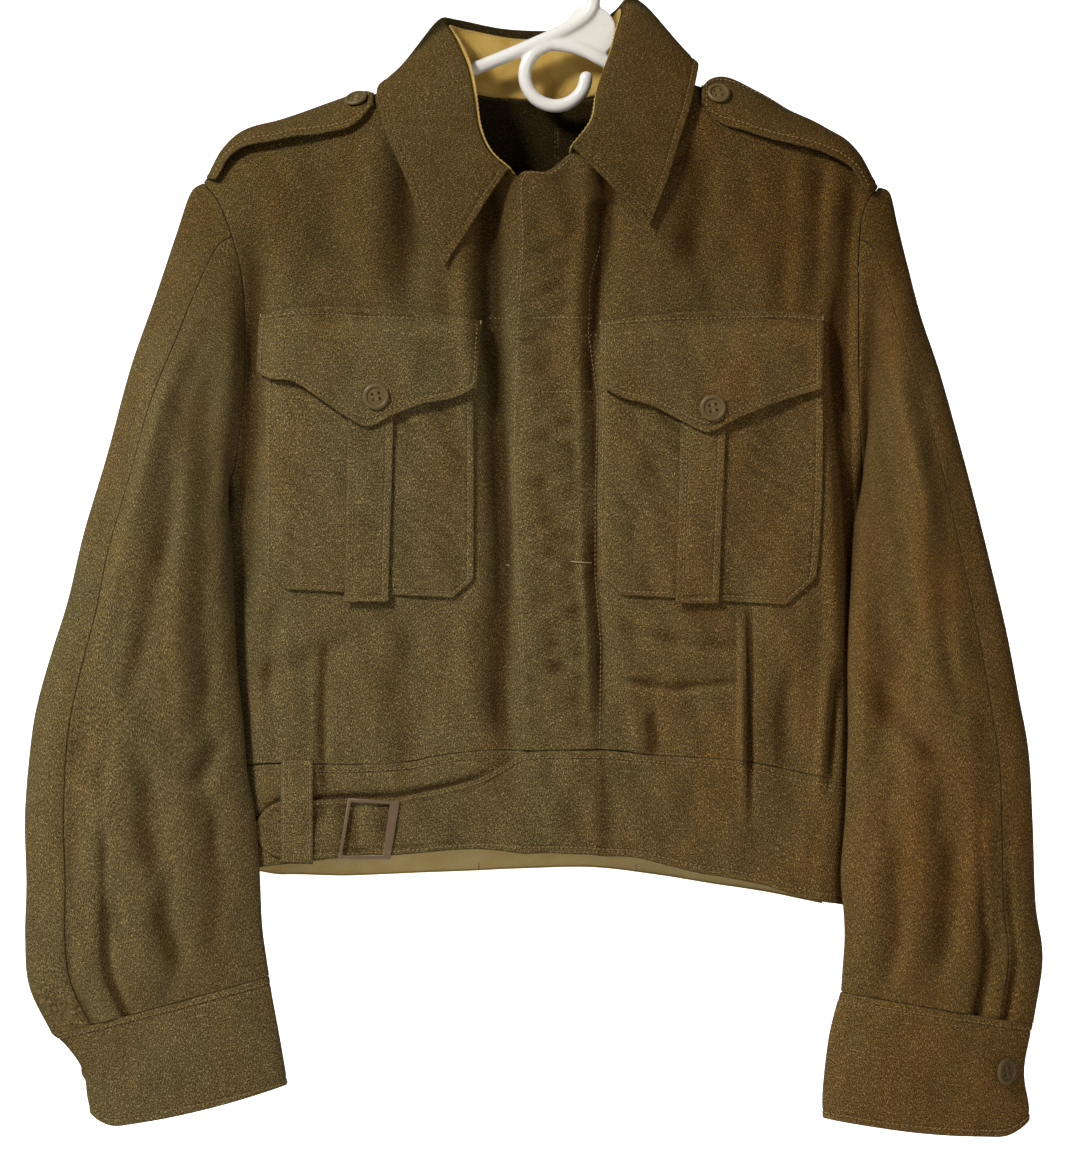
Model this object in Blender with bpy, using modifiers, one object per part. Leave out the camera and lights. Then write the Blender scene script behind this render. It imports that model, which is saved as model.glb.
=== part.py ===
"""Battledress jacket of wool serge with a fly front, hung on a white tubular hanger.

Metres, +Z up, front toward -Y. The origin is the inner top of the hanger's hook. "left" is the -X
side and "right" the +X side, seen from the front. Tables are in millimetres and MM makes them
metres. Each piece of cloth is a grid of points on its face, with its wall behind them.
"""

import math

import bmesh
import bpy
import numpy as np
from mathutils import Vector

MM = 0.001

# Cloth
SERGE = 2.0  # one ply of wool serge
PLIES = 2.6  # plies pressed together, as in flaps, straps and the collar
DRILL = 1.0  # cotton drill
SEAM_GAP = 0.3
CUFF_GAP = 0.8
BAND_DROP = 0.8  # below the waist seam
LAYER_GAP = 0.5  # between a piece and the one it lies on
LAYER = SERGE + LAYER_GAP  # how far a ply lifts what lies on it

# Body, hung flat: its front and back stand this far off the plane of the side seams
FRONT_DEPTH = 38.0
BACK_DEPTH = 30.0
SHOULDER_ROUND = 8.0  # radius over the shoulder seam
SIDE_ROUND = 27.0  # width of the rounding at a side seam
BODY_CENTRE = -13.0
FLY_WIDTH = 56.0
FLY_STEP = 8.0
UNDERARM_ROW = 11  # panel row where the armhole ends and the side seam starts
NECK_ROW = 5  # last panel row on the collar seam
STRAIGHT_ROW = 8  # first panel row that no longer bends with the shoulder seam

# Hanger
ROD_RADIUS = 5.0
ARM_DROP = 9.5  # from the shoulder seam's face to the middle of an arm
HOOK_RADIUS = 21.5
HOOK_CENTRE_Z = ROD_RADIUS - HOOK_RADIUS
CURL_RADIUS = 22.0
CURL_CENTRE = (-6.0, -113.0)
WEB_RADIUS = 19.0
WEB_CENTRE = (18.5, -82.0)
WEB_THICKNESS = 2.5
TIP_INSET = 0.05  # a rod's round tip is this much thinner than the rod

# Hard trims
BUTTON = 19.0
SMALL_BUTTON = 16.5
BUTTON_THICKNESS = 3.2
BUTTON_PROFILE = [  # share of the radius, share of the thickness; from the face's middle
    (0, 0.62), (0.6, 0.62), (0.75, 1.0), (0.97, 0.8), (0.9, 0.0), (0, 0.0),
]
HOLE_RADIUS = 1.1
HOLE_OFFSET = 2.1
CUFF_BUTTON_LIFT = 0.8
BUCKLE_THICKNESS = 2.0

# Outline of the shoulder seam from the front; between the neck points it only shapes the neck
SHOULDER_LINE = [  # x, z
    (-258, -190), (-239, -167), (-203, -150), (-160, -135), (-117, -120), (-91, -111),
    (-60, -88), (-18, -60), (22, -82), (54, -107), (97, -121), (126, -129), (157, -141),
    (187, -156), (205, -168), (225, -193),
]

# Outer outline of the body, with the sleeves above the underarm
BODY_SIDES = [  # z, left x, right x
    (-710, -231, 205), (-618, -236, 210), (-605, -237, 210), (-520, -239, 212),
    (-411, -240, 213), (-360, -262, 232), (-300, -301, 262), (-190, -340, 305),
]

FRONT_WAIST = [  # x, z
    (-237, -605), (-200, -603), (-153, -604), (-111, -602), (-91, -598), (-60, -594),
    (-17, -594), (37, -594), (60, -597), (91, -599), (130, -602), (169, -610), (210, -618),
]
BACK_WAIST = [(-237, -605), (-120, -600), (0, -599), (110, -605), (210, -618)]  # x, z

# Panel rows from the shoulder seam to the waist seam. The inner end runs along the collar seam
# and the centre edge, the outer end along the armhole and the side seam.
FRONT_LEFT_ROWS = [  # inner x, inner z, outer x, outer z
    (-91, -111, -258, -190), (-90, -116, -255, -194), (-86, -129, -248, -202),
    (-75, -147, -242, -214), (-58, -167, -236, -230), (-36, -186, -231, -247),
    (-10, -191, -228, -266), (8, -193, -227, -290), (8, -230, -227, -320),
    (8, -300, -229, -355), (8, -370, -234, -392), (8, -411, -240, -411),
    (8, -460, -240, -462), (8, -520, -239, -525), (8, -565, -238, -573),
    (8, -594, -237, -605),
]
FRONT_RIGHT_ROWS = [
    (54, -107, 225, -193), (52, -112, 221, -198), (46, -124, 216, -205),
    (36, -140, 212, -216), (20, -157, 210, -232), (4, -171, 209, -249),
    (-12, -184, 209, -268), (-33, -188, 209, -291), (-33, -235, 209, -320),
    (-37, -300, 210, -355), (-39, -370, 212, -392), (-38, -411, 213, -411),
    (-36, -460, 213, -462), (-33, -520, 212, -525), (-31, -565, 211, -575),
    (-30, -594, 210, -618),
]
BACK_LEFT_ROWS = [
    (-91, -111, -258, -190), (-88, -115, -256, -195), (-80, -121, -251, -204),
    (-62, -126, -246, -217), (-36, -129, -242, -233), (-5, -130, -239, -250),
    (-5, -150, -237, -270), (-5, -180, -236, -293), (-5, -230, -236, -322),
    (-5, -290, -236, -356), (-5, -360, -237, -392), (-5, -411, -240, -411),
    (-5, -460, -240, -462), (-5, -520, -239, -525), (-5, -565, -238, -573),
    (-5, -599, -237, -605),
]
BACK_RIGHT_ROWS = [
    (54, -107, 225, -193), (51, -112, 222, -199), (43, -119, 218, -207),
    (30, -125, 215, -219), (14, -129, 213, -235), (-5, -130, 212, -252),
    (-5, -150, 211, -272), (-5, -180, 210, -295), (-5, -230, 210, -323),
    (-5, -290, 210, -357), (-5, -360, 211, -392), (-5, -411, 213, -411),
    (-5, -460, 213, -462), (-5, -520, 212, -525), (-5, -565, 211, -575),
    (-5, -599, 210, -618),
]

# Sleeve rings below the armhole: ends of the ring as seen from the front, its middle's y,
# half its depth, and how much it still bends with the armhole
SLEEVE_LEFT_RINGS = [  # outer x, outer z, inner x, inner z, middle y, half depth, bend
    (-267, -198, -241.3, -416, -3, 32, 0.85), (-277, -228, -241, -424, -7, 34, 0.6),
    (-292, -274, -239.8, -437, -12, 35, 0.4), (-309, -324, -238.8, -456, -17, 35, 0.2),
    (-325, -385, -237.8, -480, -22, 34, 0.08), (-341, -440, -236.5, -508, -27, 32, 0),
    (-352, -488, -235, -535, -31, 30, 0), (-363, -524, -232, -560, -34, 29, 0),
    (-373, -560, -229.5, -585, -36, 29, 0), (-378, -590, -227.5, -608, -37, 29, 0),
    (-382, -640, -222, -640, -38, 28, 0), (-381, -688, -219, -675, -38, 27, 0),
    (-382, -728, -216, -708, -37, 25, 0), (-379, -762, -212, -734, -37, 22, 0),
    (-363, -796, -209, -754, -36, 18, 0),
]
SLEEVE_RIGHT_RINGS = [
    (233, -198, 214.3, -416, -3, 32, 0.85), (238, -220, 214, -424, -7, 34, 0.6),
    (245, -250, 212.8, -437, -12, 35, 0.4), (254, -286, 211.8, -456, -17, 35, 0.2),
    (267, -326, 210.6, -480, -22, 34, 0.08), (282, -381, 209, -508, -27, 32, 0),
    (294, -428, 208, -535, -31, 30, 0), (305, -474, 208, -560, -34, 29, 0),
    (314, -513, 208, -585, -36, 29, 0), (322, -556, 207, -611, -37, 29, 0),
    (329, -596, 206, -640, -38, 28, 0), (332, -649, 203, -675, -38, 27, 0),
    (334, -703, 201, -706, -37, 25, 0), (339, -742, 198, -737, -37, 22, 0),
    (332.5, -788, 196, -765, -36, 18, 0),
]
CUFF_LEFT_RINGS = [  # outer x, outer z, inner x, inner z, middle y, half depth
    (-363, -796, -209, -754, -36, 18), (-353, -804, -207, -768, -36, 18),
    (-341, -822, -202, -795, -36, 18), (-338, -845, -197, -824, -36, 17),
    (-336, -864, -196, -832, -36, 17),
]
CUFF_RIGHT_RINGS = [
    (332.5, -788, 196, -765, -36, 18), (330, -798, 192, -778, -36, 18),
    (326, -822, 187, -800, -36, 18), (329, -848, 183, -835, -36, 17),
    (330, -869, 183, -856, -36, 17),
]

# Long folds on a sleeve's front. Shares run from the ring's outer end to its inner one, and a
# fold swells from its first ring to its middle and fades to its last; the cuff's pleats don't.
SLEEVE_LEFT_FOLDS = [  # share, first ring, deepest ring, last ring, depth, width
    (0.19, 10, 15, 99, 4.0, 0.045), (0.36, 10, 15, 99, 4.0, 0.045), (0.25, 1, 4, 9, -3.0, 0.06),
    (0.46, 3, 7, 12, 3.0, 0.07), (0.8, 6, 9, 12, 2.5, 0.07),
]
SLEEVE_RIGHT_FOLDS = [
    (0.15, 10, 15, 99, 4.0, 0.045), (0.30, 10, 15, 99, 4.0, 0.045), (0.34, 1, 5, 10, -3.0, 0.07),
    (0.6, 2, 6, 11, 3.0, 0.08), (0.82, 7, 9, 12, 2.0, 0.07),
]

# Collar stations along its seam, from the left front round the back to the right front: the
# crest of the roll, the fall's edge, and how full the roll is
COLLAR = [  # roll x, y, z, edge x, y, z, fullness
    (-39, -37, -183, -85, -38.5, -253, 3), (-53, -36, -171, -101, -38, -222, 4),
    (-61, -32, -154, -112, -35, -190, 5), (-65, -26, -129, -124, -31, -163, 6),
    (-69, -18, -110, -131, -21, -142, 7), (-75, -8, -95, -134, -9, -126, 8),
    (-82, 2, -82, -131, 6, -118, 8), (-87, 12, -71, -122, 21, -122, 8),
    (-76, 24, -71, -100, 36, -131, 8), (-42, 31, -77, -52, 44, -139, 8),
    (-5, 33, -78, -5, 46, -141, 8), (20, 31, -75, 30, 44, -138, 8),
    (38, 24, -64, 62, 36, -129, 9), (47, 14, -56, 84, 24, -114, 13),
    (48, 3, -62, 94, 9, -105, 15), (43, -7, -76, 97, -6, -106, 13),
    (36, -15, -93, 94, -19, -120, 9), (29, -23, -110, 89, -28, -140, 7),
    (23, -30, -128, 82, -33, -163, 6), (20, -36, -147, 72, -37, -194, 4),
    (5, -41, -167, 61, -41, -224, 3),
]
STAND_ROWS = (0.0, 0.35, 0.7, 0.9)
FALL_ROWS = (0.0, 0.08, 0.2, 0.4, 0.6, 0.8, 1.0)
LINING_ROWS = 3  # rows of the stand that the drill band covers
COLLAR_HANDLE = 0.35  # length of the curve's handles in the stand and the fall
EDGE_FULLNESS = 0.3  # how full the fall still is at its edge
LOW_STAND = 30.0  # a stand lower than this rolls less

POCKET_LEFT_ROWS = [  # left x, left z, right x, right z
    (-212, -306, -63.5, -306), (-212.5, -360, -63.5, -360), (-213, -415, -63.5, -415),
    (-213, -450, -63.5, -452), (-213, -467, -64, -474), (-197, -481, -79, -487),
]
POCKET_RIGHT_ROWS = [
    (24.5, -306, 184, -306), (23.5, -360, 184, -360), (23, -415, 183, -415),
    (23, -450, 181, -452), (23, -469, 179, -473), (41, -485, 157, -492),
]
POCKET_COLUMNS = 8
POCKET_PUFF = 3.0
PLEAT_LEFT = ((-152.5, -330, -119.5, -330), (-156, -490, -124, -490))  # its top and foot
PLEAT_RIGHT = ((83, -330, 116, -330), (78.5, -491, 110, -491))
PLEAT_ROWS = 9
PLEAT_CLEARANCE = 0.3  # over the pocket's curve, besides its ply

FLAP_LEFT = [  # x and z on its top edge, x and z on its lower edge
    (-217, -285, -219, -326), (-205, -283, -209, -332), (-190, -281, -192, -334),
    (-172, -280, -173, -346), (-155, -280, -154, -359), (-139, -281, -138.5, -366),
    (-122, -282, -121, -358), (-100, -284, -100, -350), (-78, -287, -79, -346),
    (-57.5, -290, -61, -338),
]
FLAP_RIGHT = [
    (24.5, -290, 26, -338), (42, -288, 43, -346), (62, -286, 62, -351), (82, -284, 81, -361),
    (102, -283, 102, -370), (121, -283, 121, -361), (142, -283, 143, -352),
    (164, -284, 165, -344), (185, -287, 183, -339),
]
FLAP_ROWS = (0.0, 0.2, 0.4, 0.6, 0.8, 1.0)
FLAP_SEAM = 18.0  # height over which a flap rises from its seam onto the pocket
FLAP_CLEARANCE = 0.8  # over the pleat's curve, besides its plies

# Shoulder straps: how far the middle line lies over the shoulder seam and in front of it
STRAP_LEFT = [  # x, over, in front
    (-256, 5.5, 2), (-239, 7, 3), (-203, 4, 6), (-160, -1, 10), (-146, -2, 11.5), (-136, -3, 12),
]
STRAP_RIGHT = [
    (223, 4.1, 7.9), (205, 4.2, 9), (187, 2.6, 10.5), (157, -2.5, 13), (139, -3.4, 14),
    (120, -3.5, 14.5), (98, -6, 15),
]
STRAP_HALF_WIDTH = 24.0
STRAP_ROUND = (23.0, 45.0, 60.0)  # radius of the bend at the seam, and at the left and right ends
STRAP_LEAN_LEFT = (5.0, 38.0)  # degrees that it leans forward at the seam and at its end
STRAP_LEAN_RIGHT = (20.0, 58.0)
STRAP_SHARES = (0.0, 0.12, 0.27, 0.42, 0.57, 0.72, 0.84, 0.91, 0.96, 1.0)
STRAP_COLUMNS = 7
STRAP_BUTTON_ROW = 7
STRAP_END_BLUNT = 0.35  # half width of the blunt end, as a share
STRAP_BOW = 8.0  # how far the seam end follows the armhole

WAISTBAND_RIGHT = [  # x, top z, bottom z; from the side seam to the belt's point
    (210, -618, -705), (208.8, -618, -705), (205, -617, -704.5), (198, -615, -703),
    (188, -613, -701.5), (169, -610, -697), (146, -605, -690), (122, -601, -685),
    (97, -599, -681), (76, -598, -676), (51, -596, -670), (29, -594, -669),
    (20, -594, -668), (-8, -594, -667), (-29, -596, -667), (-46, -606, -665),
    (-62, -614, -664), (-84, -620, -665), (-108, -625, -667), (-120, -627, -668),
    (-138, -628, -669), (-156, -628, -670), (-178, -629, -671), (-201, -630, -671),
    (-212, -636, -666), (-220, -646, -655),
]
WAISTBAND_LEFT = [
    (-237, -605, -680), (-235.8, -605, -680), (-232, -605, -679), (-225, -605, -678),
    (-214, -604, -676), (-190, -603.5, -673.5), (-153, -604, -669), (-111, -602, -664),
    (-91, -598, -662), (-60, -594, -661), (-30, -594, -662), (-3, -594, -663),
]
WAISTBAND_BACK = [
    (-237, -605, -685), (-235.8, -605, -685), (-232, -605, -685), (-225, -604.5, -685),
    (-212, -604, -685), (-180, -603, -684), (-130, -600.5, -682), (-80, -599.5, -680),
    (-30, -599, -678), (20, -599.5, -677), (65, -602, -682), (110, -605, -689),
    (150, -610, -695), (185, -614.5, -702), (198, -616.5, -704), (205, -617.5, -704.5),
    (208.8, -618, -705), (210, -618, -705),
]
BAND_ROWS = (0.0, 0.13, 0.3, 0.7, 0.87, 1.0)
LINING_DROP = 3.0  # the drill strip shows below the back waistband
LINING_HEIGHT = 45.0
LOOP_ROWS = [  # z, and how far the loop has risen over the belt
    (-601, 0.0), (-612, 0.2), (-624, 1.0), (-640, 1.0), (-660, 1.0), (-675, 0.9),
]
LOOP_X = (-201.0, -177.5)
LOOP_CLEARANCE = 0.2
BUCKLE_OUTLINE = [(-153, -628.5), (-116.5, -630.5), (-123, -671.5), (-160, -671.5)]  # x, z
BUCKLE_OPENING = [(-149.6, -632), (-124.4, -633.5), (-129.6, -668), (-156.4, -668)]
BELT_HUMP = 2.0  # the belt rises inside the buckle
BELT_HUMP_WIDTH = 7.0
BELT_HUMP_CLEAR = 8.0  # the hump fades this near the buckle's bars
BELT_STEP = (20.0, 29.0)  # x between which the right band steps up onto the left one

WAIST_TUCKS = [  # x, z of the top, z of the foot, height, width
    (125.0, -515.0, -602.0, 3.5, 4.5), (-166.0, -545.0, -604.0, 2.0, 5.0),
]

MATERIALS = {  # colour, roughness, metallic
    "serge": ((0.105, 0.078, 0.032), 0.95, 0.0),
    "drill": ((0.30, 0.22, 0.085), 0.9, 0.0),
    "button_brown": ((0.11, 0.075, 0.035), 0.45, 0.0),
    "buckle_brown": ((0.13, 0.085, 0.05), 0.4, 0.6),
    "white_plastic": ((0.82, 0.80, 0.78), 0.25, 0.0),
}


def through(table):
    """A smooth function through a table, whose first column is the place of each row."""
    table = np.array(table, float)
    place, value = table[:, 0], table[:, 1:]
    slope = np.gradient(value, place, axis=0)

    def at(where):
        where = np.clip(np.asarray(where, float), place[0], place[-1])
        k = np.clip(np.searchsorted(place, where, side="right") - 1, 0, len(place) - 2)
        step = (place[k + 1] - place[k])[..., None]
        f = (where - place[k])[..., None] / step
        result = (1 + 2 * f) * (1 - f) ** 2 * value[k] + f * (1 - f) ** 2 * step * slope[k]
        result += f**2 * (3 - 2 * f) * value[k + 1] - f**2 * (1 - f) * step * slope[k + 1]
        return np.moveaxis(result, -1, 0) if value.shape[1] > 1 else result[..., 0]

    return at


def rise(where, start, end):
    """0 before start, 1 after end, and smooth between."""
    f = np.clip((where - start) / (end - start), 0, 1)
    return f * f * (3 - 2 * f)


shoulder = through(SHOULDER_LINE)
body_sides = through(BODY_SIDES)
front_waist = through(FRONT_WAIST)
back_waist = through(BACK_WAIST)


def body_depth(x, z, fullness):
    """How far the cloth stands off the plane of the side seams and shoulder seams."""
    left, right = body_sides(z)
    inward = np.where(x < BODY_CENTRE, x - left, right - x)
    edge = np.clip(inward / SIDE_ROUND, 0, 1)
    over = np.sqrt(2 * SHOULDER_ROUND * np.maximum(shoulder(x) - z, 0))
    return fullness * np.tanh(over / fullness) * np.sqrt(edge * (2 - edge))


def tuck_height(x, z):
    """Ridges of the waist tucks, which fade out upward."""
    height = 0.0
    for middle, top, foot, ridge, width in WAIST_TUCKS:
        height = height + ridge * np.exp(-(((x - middle) / width) ** 2)) * rise(z, top, foot)
    return height


def on_front(x, z, lift=0.0):
    """Points of the front's face at x and z, moved out by lift."""
    x, z, lift = np.broadcast_arrays(x, z, lift)
    return np.stack([x, -(body_depth(x, z, FRONT_DEPTH) + lift), z], axis=-1)


def on_back(x, z):
    """Points of the back's face at x and z."""
    return np.stack([x, body_depth(x, z, BACK_DEPTH), z], axis=-1)


def body_panel(rows, waist, inner_steps, outer_steps, middle_columns):
    """x, z and the distance from the inner edge, for a grid over a front or back panel."""
    number = np.arange(len(rows))[:, None]
    inner_x, inner_z, outer_x, outer_z = np.array(rows, float).T[:, :, None]
    side = body_sides(outer_z)[0 if outer_x[0, 0] < BODY_CENTRE else 1]
    outer_x = np.where(number >= UNDERARM_ROW, side, outer_x)
    width = np.abs(outer_x - inner_x)
    share = np.linspace(0, 1, middle_columns + 2)[1:-1]
    middle = inner_steps[-1] + share * (width - inner_steps[-1] - outer_steps[-1])
    near = np.broadcast_to(inner_steps, (len(rows), len(inner_steps)))
    far = width - np.array(outer_steps)[::-1]
    along = np.concatenate([near, middle, far], axis=1)
    x = inner_x + along * np.sign(outer_x - inner_x)
    across = along / width
    inner_root = np.sqrt(np.maximum(shoulder(inner_x) - inner_z, 0))
    outer_root = np.sqrt(np.maximum(shoulder(outer_x) - outer_z, 0))
    under_shoulder = shoulder(x) - (inner_root + across * (outer_root - inner_root)) ** 2
    seam_sag = waist(x) - waist(inner_x) - across * (waist(outer_x) - waist(inner_x))
    straight = inner_z + across * (outer_z - inner_z) + seam_sag * rise(number, STRAIGHT_ROW, len(rows) - 1)
    down = rise(number, 0, STRAIGHT_ROW)
    return x, under_shoulder * (1 - down) + straight * down, along


def unit(vectors):
    return vectors / np.maximum(np.linalg.norm(vectors, axis=-1, keepdims=True), 1e-9)


def beyond(edge, neighbour, fold):
    """The row past an edge: mirrored in y at a fold, where the cloth goes on behind."""
    if fold:
        return neighbour * (1, -1, 1) + edge * (0, 2, 0)
    return 2 * edge - neighbour


def face_normals(face, outward, wrap, folds):
    """Unit normals of a grid of points, each from its neighbours on all sides."""
    top = beyond(face[0], face[1], "first_row" in folds)
    foot = beyond(face[-1], face[-2], "last_row" in folds)
    rows = np.concatenate([top[None], face, foot[None]])
    if wrap:
        first, last = face[:, -1], face[:, 0]
    else:
        first = beyond(face[:, 0], face[:, 1], "first_column" in folds)
        last = beyond(face[:, -1], face[:, -2], "last_column" in folds)
    columns = np.concatenate([first[:, None], face, last[:, None]], axis=1)
    normals = unit(np.cross(rows[2:] - rows[:-2], columns[:, 2:] - columns[:, :-2]))
    return normals if (normals * outward).sum() > 0 else -normals


def draw_in(face, wrap, gap):
    """The grid with its free edges moved in by gap."""
    face = face.copy()
    for edge, neighbour in ((0, 1), (-1, -2)):
        face[edge] += unit(face[neighbour] - face[edge]) * gap
        if not wrap:
            face[:, edge] += unit(face[:, neighbour] - face[:, edge]) * gap
    return face


def grid_faces(rows, columns, wrap):
    """Faces of a wall with two skins of rows by columns points, and of its rims."""
    span = columns if wrap else columns - 1

    def corner(skin, row, column):
        return skin * rows * columns + row * columns + column % columns

    faces = []
    for row in range(rows - 1):
        for column in range(span):
            for skin in (0, 1):
                quad = [
                    corner(skin, row, column),
                    corner(skin, row, column + 1),
                    corner(skin, row + 1, column + 1),
                    corner(skin, row + 1, column),
                ]
                for triangle in (quad[:3], [quad[0], *quad[2:]]):
                    faces.append(triangle if skin else triangle[::-1])
    rims = [((row, column), (row, column + 1)) for row in (0, rows - 1) for column in range(span)]
    if not wrap:
        sides = (0, columns - 1)
        rims += [((row, column), (row + 1, column)) for row in range(rows - 1) for column in sides]
    for start, end in rims:
        faces.append([corner(0, *start), corner(0, *end), corner(1, *end), corner(1, *start)])
    return faces


def wall(name, face, normals, slot="serge", thickness=SERGE, wrap=False, gap=SEAM_GAP / 2):
    """A wall of cloth behind a grid of face points, with its free edges drawn in for the seams."""
    face = draw_in(face, wrap, gap)
    points = np.concatenate([face.reshape(-1, 3), (face - normals * thickness).reshape(-1, 3)])
    mesh = bpy.data.meshes.new(name)
    mesh.from_pydata((points * MM).tolist(), [], grid_faces(*face.shape[:2], wrap))
    bm = bmesh.new()
    bm.from_mesh(mesh)
    bmesh.ops.recalc_face_normals(bm, faces=bm.faces)
    bm.to_mesh(mesh)
    bm.free()
    mesh.shade_smooth()
    mesh.set_sharp_from_angle(angle=math.radians(50))
    return add_object(name, mesh, slot)


def cloth(name, face, outward, wrap=False, folds=(), **details):
    """A wall of cloth whose normals come from its own grid of face points."""
    return wall(name, face, face_normals(face, outward, wrap, folds), wrap=wrap, **details)


def add_object(name, mesh, slot):
    """A named object with its material, in the jacket's collection."""
    piece = bpy.data.objects.new(name, mesh)
    mesh.materials.clear()
    mesh.materials.append(material(slot))
    bpy.data.collections["battledress_jacket"].objects.link(piece)
    return piece


def material(slot):
    made = bpy.data.materials.get(slot)
    if made:
        return made
    colour, roughness, metallic = MATERIALS[slot]
    made = bpy.data.materials.new(slot)
    made.use_nodes = True
    shader = made.node_tree.nodes["Principled BSDF"]
    shader.inputs["Base Color"].default_value = (*colour, 1)
    shader.inputs["Roughness"].default_value = roughness
    shader.inputs["Metallic"].default_value = metallic
    return made


FORWARD = np.array([0.0, -1.0, 0.0])
BACKWARD = -FORWARD
SIDE_STEPS = (0, 1.2, 5, 12, 22)  # columns near a side seam, from it


def fly_lift(along, z):
    """The right front steps up near its edge, where it laps over the left one."""
    return LAYER * (1 - rise(along, FLY_WIDTH - FLY_STEP, FLY_WIDTH)) * (1 - rise(z, -180, -150))


def make_body():
    """Fronts and backs. Returns the face points of each, which its neighbours start from."""
    faces = {}
    x, z, _ = body_panel(FRONT_LEFT_ROWS, front_waist, (0,), (*SIDE_STEPS, 46, 66, 72, 78), 6)
    faces["front_left"] = on_front(x, z, tuck_height(x, z))
    fly_steps = (0, 24, FLY_WIDTH - FLY_STEP, FLY_WIDTH)
    x, z, along = body_panel(
        FRONT_RIGHT_ROWS, front_waist, fly_steps, (*SIDE_STEPS, 50, 78, 85, 92), 4
    )
    faces["front_right"] = on_front(x, z, tuck_height(x, z) + fly_lift(along, z))
    for side, rows in (("left", BACK_LEFT_ROWS), ("right", BACK_RIGHT_ROWS)):
        x, z, _ = body_panel(rows, back_waist, (0,), SIDE_STEPS, 6)
        faces[f"back_{side}"] = on_back(x, z)
    for name, face in faces.items():
        outward = FORWARD if "front" in name else BACKWARD
        cloth(name, face, outward, folds=("first_row", "last_column"))
    return faces


def fold_depth(folds, share, number):
    """How far the long folds push the front of a sleeve in."""
    depth = 0.0
    for middle, first, deepest, last, push, width in folds:
        grow = rise(number, first, deepest) * (1 - rise(number, deepest, last))
        depth = depth + push * grow * np.exp(-(((share - middle) / width) ** 2))
    return depth


def sleeve_rings(rings, armhole_front, armhole_back, folds):
    """Rings of points down a sleeve, the first along the armhole.

    A ring starts at its outer end, crosses the front to its inner end and returns behind.
    """
    top, foot = armhole_front[0], armhole_front[-1]
    height = (top[2] - armhole_front[:, 2]) / (top[2] - foot[2])
    share = np.concatenate([height, height[-2:0:-1]])
    depth = np.sqrt(np.maximum(1 - (1 - 2 * share) ** 2, 0))
    depth[len(height) :] *= -1
    table = np.array(rings, float)[:, :, None]
    outer_x, outer_z, inner_x, inner_z, middle_y, half = table.transpose(1, 0, 2)[:6]
    armhole = np.concatenate([armhole_front, armhole_back[-2:0:-1]])
    curve = armhole[:, 0] - top[0] - share * (foot[0] - top[0])
    bend = table[:, 6] if table.shape[1] > 6 else np.zeros_like(half)
    x = outer_x + share * (inner_x - outer_x) + bend * curve
    z = outer_z + share * (inner_z - outer_z)
    number = np.arange(1, len(table) + 1)[:, None]
    y = middle_y - half * depth + fold_depth(folds, share, number) * (depth > 0)
    return armhole[None], np.stack(np.broadcast_arrays(x, y, z), axis=-1)


def make_sleeve(side, rings, cuff_rings, faces, folds):
    """A two-piece sleeve and its cuff."""
    armhole_front = faces[f"front_{side}"][: UNDERARM_ROW + 1, -1]
    armhole_back = faces[f"back_{side}"][: UNDERARM_ROW + 1, -1]
    armhole, arm = sleeve_rings(rings, armhole_front, armhole_back, folds)
    tube = np.concatenate([armhole, arm])
    outward = tube - tube.mean(axis=1, keepdims=True)
    normals = face_normals(tube, outward, True, ())
    count = tube.shape[1]
    upper = np.arange(4, 13)
    lower = np.arange(12, count + 5) % count
    for piece, columns in (("top", upper), ("under", lower)):
        wall(f"sleeve_{side}_{piece}", tube[:, columns], normals[:, columns])
    _, cuff = sleeve_rings(cuff_rings, armhole_front, armhole_back, ())
    cloth(
        f"cuff_{side}",
        cuff,
        cuff - cuff.mean(axis=1, keepdims=True),
        thickness=PLIES,
        wrap=True,
        gap=CUFF_GAP,
    )
    return cuff


def make_collar(faces):
    """The collar rises from the neck seam, rolls over and falls outside; drill lines its stand."""
    front_left = faces["front_left"][NECK_ROW::-1, 0]
    back_left = faces["back_left"][1 : NECK_ROW + 1, 0]
    back_right = faces["back_right"][NECK_ROW - 1 : 0 : -1, 0]
    front_right = faces["front_right"][: NECK_ROW + 1, 0]
    neck = np.concatenate([front_left, back_left, back_right, front_right])
    table = np.array(COLLAR, float)
    roll, edge, fullness = table[:, :3], table[:, 3:6], table[:, 6:]
    outward = unit((roll - (BODY_CENTRE, 0, 0)) * (1, 1, 0))
    over = outward * fullness
    stand_height = np.linalg.norm(roll - neck, axis=-1, keepdims=True)
    up = neck + unit(roll - neck) * stand_height * COLLAR_HANDLE
    below_roll = roll - over * np.minimum(1, stand_height / LOW_STAND)
    above_edge = edge - (edge - roll) * COLLAR_HANDLE + over * EDGE_FULLNESS
    rows = [bezier(neck, up, below_roll, roll, f) for f in STAND_ROWS]
    rows += [bezier(roll, roll + over, above_edge, edge, f) for f in FALL_ROWS]
    face = np.array(rows)
    face[0] += unit(face[1] - face[0]) * LAYER_GAP
    toward = np.broadcast_to(outward, face.shape).copy()
    toward[: len(STAND_ROWS)] = 0
    cloth("collar", face, toward, thickness=PLIES)
    normals = face_normals(face, toward, False, ())
    band = (face + normals * (LAYER_GAP + DRILL))[:LINING_ROWS]
    cloth("collar_lining", band, normals[:LINING_ROWS], slot="drill", thickness=DRILL)


def bezier(start, handle_1, handle_2, end, f):
    return (
        start * (1 - f) ** 3
        + handle_1 * 3 * f * (1 - f) ** 2
        + handle_2 * 3 * f**2 * (1 - f)
        + end * f**3
    )


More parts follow.
